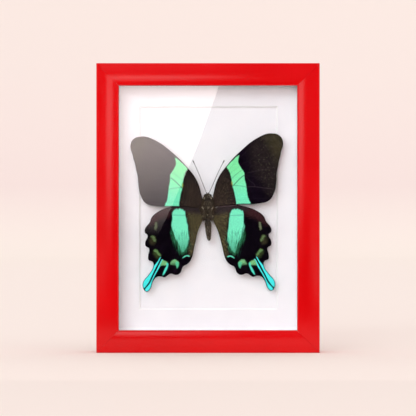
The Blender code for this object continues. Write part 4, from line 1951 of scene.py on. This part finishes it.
        # Name, place and half sizes in mm, lean in degrees, flow, tone, length in mm and count.
        specs = [
            ("shoulder_tuft_left", (-3.7, -2.6, 0.9), (0.32, 0.3, 0.85), -32, (0.5, 0.0, -1.0), 0.92, 1.1, 110),
            ("shoulder_tuft_right", (3.6, -2.6, 0.8), (0.32, 0.3, 0.85), 32, (-0.5, 0.0, -1.0), 0.92, 1.1, 110),
            ("collar_tuft_left", (-2.4, -2.6, 7.6), (0.4, 0.3, 0.55), 0, (-0.2, 0.0, -1.0), 0.9, 0.7, 80),
            ("collar_tuft_right", (2.4, -2.6, 7.9), (0.35, 0.3, 0.6), 0, (0.2, 0.0, -1.0), 0.9, 0.7, 80),
            ("back_tuft", (0.4, -4.1, 1.0), (0.55, 0.3, 0.55), 0, (0.0, -0.1, -1.0), 0.9, 0.7, 80),
            ("waist_tuft", (-0.1, -4.0, -4.2), (0.28, 0.3, 0.28), 0, (0.0, -0.2, -1.0), 0.94, 0.5, 40),
            ("hip_tuft_left", (-3.5, -2.2, -4.9), (0.4, 0.3, 0.6), 25, (0.2, 0.0, -1.0), 0.82, 1.2, 80),
            ("hip_tuft_right", (3.7, -2.2, -4.9), (0.4, 0.3, 0.6), -25, (-0.2, 0.0, -1.0), 0.86, 1.2, 80),
        ]
        for index, (name, place, radii, lean, flow, tone, length, count) in enumerate(specs):
            lengths, tones = (length * 0.7, length), (tone - 0.1, tone)
            coat = HairCoat(name, count, lengths, 0.06, 0.1, tones, 0.15, 20 + index)
            unit = ball_spread(count, coat.seed)
            leant = np.array(Matrix.Rotation(radians(lean), 3, "Y"))
            roots = np.array(middle) + (unit * np.array(radii)) @ leant.T * MM + np.array(place) * MM
            coat.grow(roots, np.array([0.0, -1.0, 0.0]), np.array(flow), hair)

    def feeler(self, side: Side, material: Material) -> None:
        """Sweep one feeler from ring to ring: beaded joints and a club at its end.

        Args:
            side: Which feeler.
            material: Its material.
        """
        low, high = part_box(f"antenna_{side.word}")
        inner = low.x if side is Side.RIGHT else high.x
        outer = high.x if side is Side.RIGHT else low.x
        route = open_curve(self.feeler_route, 20)
        share = (route - route[0]) / (route[-1] - route[0])
        near, far = high.y - self.feeler_radius, low.y + self.feeler_radius
        path = [
            Vector((inner + (outer - inner) * sx, near + (far - near) * sz, low.z + (high.z - low.z) * sz))
            for sx, sz in share
        ]
        work = bmesh.new()
        bmesh.ops.create_circle(work, cap_ends=True, segments=8, radius=1.0)
        radius = self.feeler_radius
        heading = (path[1] - path[0]).to_track_quat("Z", "Y").to_matrix().to_4x4()
        lay_out(work, Matrix.Translation(path[0]), heading, sized((radius,) * 3))
        face = work.faces[:]
        for index in range(1, len(path)):
            along = index / (len(path) - 1)
            club = 1 + 1.3 * float(smoothstep(np.array([along]), 0.84, 0.95)[0])
            bead = 1 + 0.12 * sin(2 * pi * self.feeler_joints * along)
            taper = 1 - 0.9 * float(smoothstep(np.array([along]), 0.97, 1.0)[0])
            wanted = self.feeler_radius * club * bead * taper
            made = bmesh.ops.extrude_discrete_faces(work, faces=face)
            face = made["faces"]
            verts = list(face[0].verts)
            centre = sum((v.co for v in verts), Vector()) / len(verts)
            bmesh.ops.translate(work, verts=verts, vec=path[index] - centre)
            grow = wanted / radius
            radius = wanted
            bmesh.ops.scale(work, verts=verts, vec=(grow,) * 3, space=Matrix.Translation(-path[index]))
        bmesh.ops.remove_doubles(work, verts=work.verts, dist=WELD)
        bmesh.ops.recalc_face_normals(work, faces=work.faces)
        add_piece(work, f"feeler_{side.word}", [material], (f"antenna_{side.word}",), radians(60))


@dataclass
class Butterfly:
    """The set specimen: four wings and the body."""

    thorax_drop: float = 0.5 * MM
    fore: WingPlan = WingPlan(
        "forewing",
        depth=-0.6 * MM,
        rise={Side.LEFT: -0.4 * MM, Side.RIGHT: 0.4 * MM},
        veins=FOREWING_VEINS,
        scales=WingScales(
            "forewing_scales",
            ground="#0c0411",
            marks=FOREWING_MARKS,
            bright=("band",),
            vein_on_mark="#2c6e50",
            vein_on_ground="#54474d",
        ),
        root=(3.8, 3.5),
        notch=0.35,
        brush=(3.8, 3.5),
    )
    hind: WingPlan = WingPlan(
        "hindwing",
        depth=0.1 * MM,
        rise={Side.LEFT: 0.5 * MM, Side.RIGHT: -0.2 * MM},
        veins=HINDWING_VEINS,
        scales=WingScales(
            "hindwing_scales",
            ground="#060109",
            marks=HINDWING_MARKS,
            bright=("patch", "stripe_low", "stripe_high", "line_d", "line_e", "crescent"),
            vein_on_mark="#16483e",
            vein_on_ground="#2b2128",
        ),
        camber=0.3,
        root=(3.8, -4.0),
        brush=(17.5, -50.0),
    )
    body: Body = field(default_factory=Body)

    def build(self) -> None:
        """Build the wings, then the body."""
        middle, _ = middle_and_half("thorax")
        origin = middle + Vector((0.0, 0.0, self.thorax_drop))
        for plan in (self.hind, self.fore):
            plan.scales.build()
            for side in Side:
                Wing(plan, side, origin).build()
        self.body.build(origin)


# --------------------------------------------------------------------------------------------------
# Studio
# --------------------------------------------------------------------------------------------------


@dataclass
class Studio:
    """A pale seamless floor, soft lamps, black flags behind the camera, and the camera."""

    camera_distance: float = 2.2
    lens: float = 270.0
    floor_radius: float = 4.0
    cove_radius: float = 1.0
    floor_colour: str = "#f4efdf"
    floor_stops: Stops = ((0.0, "#f3f6e9"), (0.15, "#e7e1d9"), (0.45, "#e4e0d7"))
    world_colour: tuple[float, float, float] = (1.0, 0.82, 0.86)
    key_colour: tuple[float, float, float] = (0.84, 0.95, 1.0)
    fill_colour: tuple[float, float, float] = (1.0, 0.752, 0.757)
    fill_power: float = 66.0
    fill_size: float = 1.6
    fill_distance: float = 3.4
    key_strength: float = 0.92
    key_spread: float = radians(28)
    key_way: tuple[float, float, float] = (-0.29, -1.0, 0.31)
    # Each flag's size, how far before the frame and how high it lies, and its turn about X.
    cloths: tuple[tuple[str, Point, float, float, float], ...] = (
        ("flag_upright", (1.8, 1.52), 3.6, 0.762, pi / 2),
        ("flag_flat", (0.6, 3.4), 2.05, 0.004, 0.0),
    )
    card_distance: float = 2.95
    card_strength: float = 3.6
    card_colour: tuple[float, float, float] = (1.0, 0.845, 0.825)
    # The card's outline in millimetres, from the middle of the frame.
    card_edge: Route = (
        (30, 240), (17, 200), (6, 168), (-21, 93), (-60, 2), (-99, -79),
        (-112, -108), (-300, -108), (-300, 240),
    )

    def build(self) -> None:
        """Build the set."""
        low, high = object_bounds()
        middle = (low + high) / 2
        front = Vector((middle.x, low.y, middle.z))
        self.world()
        self.floor()
        self.key()
        self.fill(front)
        self.flags(front)
        self.card(front)
        self.camera(front)

    def plain(self, name: str, colour: str) -> Material:
        """Make a matt material for the set, with a barely visible mottle."""
        return Board(name, colour, colour, tooth=2 * MM, tooth_height=0.01 * MM).build()

    def paper(self) -> Material:
        """Make the backdrop paper, which is a shade darker where it stands up and faces the lamp.

        Returns:
            Its material.
        """
        material = self.plain("pale_floor_paper", self.floor_colour)
        tree = material.node_tree
        height = add_node(tree, "SeparateXYZ", {"Vector": add_node(tree, "TexCoord", out="Object")}, "Z")
        shade = add_node(tree, "ValToRGB", {"Fac": height}, stops=self.floor_stops)
        shader = next(n for n in tree.nodes if n.type == "BSDF_PRINCIPLED")
        tree.links.new(shade, shader.inputs["Base Color"])
        return material

    def world(self) -> None:
        """Light the set evenly from all round with a faintly rosy white."""
        world = bpy.data.worlds.new("soft_surround")
        bpy.context.scene.world = world
        world.use_nodes = True
        sky = world.node_tree.nodes["Background"]
        sky.inputs["Color"].default_value = (*self.world_colour, 1.0)
        sky.inputs["Strength"].default_value = 1.0

    def stage_mesh(self, work: BMesh, name: str, material: Material) -> Object:
        """Turn a bmesh into a part of the set.

        Args:
            work: The shape; it is freed.
            name: Its name.
            material: Its material.

        Returns:
            The new object.
        """
        part = new_object(work, name, [material])
        part.data.shade_smooth()
        part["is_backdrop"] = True
        return part

    def floor(self) -> None:
        """Spin a floor that curves up into a low wall all round."""
        low, cove = self.floor_radius, self.cove_radius
        curve = [(low + cove * sin(a), cove * (1 - cos(a))) for a in np.linspace(0, pi / 2, 16)]
        work = spun([(0.0, 0.0), (1.0, 0.0), (2.5, 0.0), *curve], Vector((0.0, 0.0, 1.0)), 96)
        for face in work.faces:
            if face.normal.z < 0:
                face.normal_flip()
        self.stage_mesh(work, "floor", self.paper())

    def hang(self, name: str, data: ID, place: Vector, turn: Any = (pi / 2, 0.0, 0.0)) -> Object:
        """Put a lamp or the camera in its place.

        Args:
            name: Its name.
            data: Its lamp or camera data.
            place: Where it goes.
            turn: Its rotation; unless given, it looks along Y.

        Returns:
            The new object.
        """
        made = bpy.data.objects.new(name, data)
        bpy.context.scene.collection.objects.link(made)
        made.location, made.rotation_euler = place, turn
        return made

    def key(self) -> None:
        """Light from a broad lamp a little above and to the left of the camera, far enough to be even."""
        light = bpy.data.lights.new("key_softbox", "SUN")
        light.energy, light.angle, light.color = self.key_strength, self.key_spread, self.key_colour
        self.hang("key_softbox", light, Vector(), Vector(self.key_way).to_track_quat("Z", "Y").to_euler())

    def fill(self, front: Vector) -> None:
        """Hang a broad, weak and slightly rosy fill behind the camera, kept out of the glass's mirror.

        Args:
            front: The middle of the frame's front.
        """
        light = bpy.data.lights.new("fill_softbox", "AREA")
        light.shape, light.size = "SQUARE", self.fill_size
        light.energy, light.color = self.fill_power, self.fill_colour
        lamp = self.hang("fill_softbox", light, front - Vector((0.0, self.fill_distance, 0.0)))
        lamp.visible_glossy = lamp.visible_transmission = lamp.visible_camera = False

    def flags(self, front: Vector) -> None:
        """Put black cloth behind the camera and on the floor before it, so that the glass stays clear.

        Args:
            front: The middle of the frame's front.
        """
        black = Board("black_cloth", "#040404", "#040404", specular=0.0).build()
        for name, size, before, high, turn in self.cloths:
            work = bmesh.new()
            bmesh.ops.create_grid(work, x_segments=1, y_segments=1, size=0.5)
            place = Matrix.Translation((0.0, front.y - before, high))
            lay_out(work, place, Matrix.Rotation(turn, 4, "X"), sized((*size, 1.0)))
            self.mirrored_only(self.stage_mesh(work, name, black))

    def mirrored_only(self, part: Object) -> None:
        """Let a flag or card be seen only in the mirror of the glass and the lacquer."""
        part.visible_camera = part.visible_diffuse = part.visible_shadow = False

    def card(self, front: Vector) -> None:
        """Hang the slanted light card whose mirror image lies over the upper left of the glass.

        Args:
            front: The middle of the frame's front.
        """
        add, place = Finish("light_card").start()
        height = add("SeparateXYZ", {"Vector": place}, "Z")
        reach = (front.z - 0.045, front.z + 0.1)
        fade = add("MapRange", {"Value": height, **band("From", reach)})
        strength = add("Math", {0: fade, 1: self.card_strength}, operation="MULTIPLY")
        glow = add("Emission", {"Color": (*self.card_colour, 1.0), "Strength": strength})
        material = Finish("light_card").close(add, glow)
        work = bmesh.new()
        shift = front - Vector((0.0, self.card_distance, 0.0))
        work.faces.new([work.verts.new(Vector((x * MM, 0.0, z * MM)) + shift) for x, z in self.card_edge])
        self.mirrored_only(self.stage_mesh(work, "light_card", material))

    def camera(self, front: Vector) -> None:
        """Set the camera square to the front, at the middle height of the frame.

        Args:
            front: The middle of the frame's front.
        """
        data = bpy.data.cameras.new("camera")
        data.lens, data.sensor_width, data.clip_end = self.lens, 36.0, 50.0
        place = front - Vector((0.0, self.camera_distance, 0.0))
        bpy.context.scene.camera = self.hang("camera", data, place)


def main() -> None:
    """Load the frame, build every assembly around it and note both boxes."""
    logging.basicConfig(level=logging.INFO, format="%(name)s: %(message)s")
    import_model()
    bpy.context.scene.view_settings.view_transform = "Standard"
    for assembly in (BoxFrame(), Sheets(), BackFixings(), Butterfly(), Studio()):
        LOG.info("building %s", type(assembly).__name__)
        assembly.build()


if __name__ == "__main__":
    main()
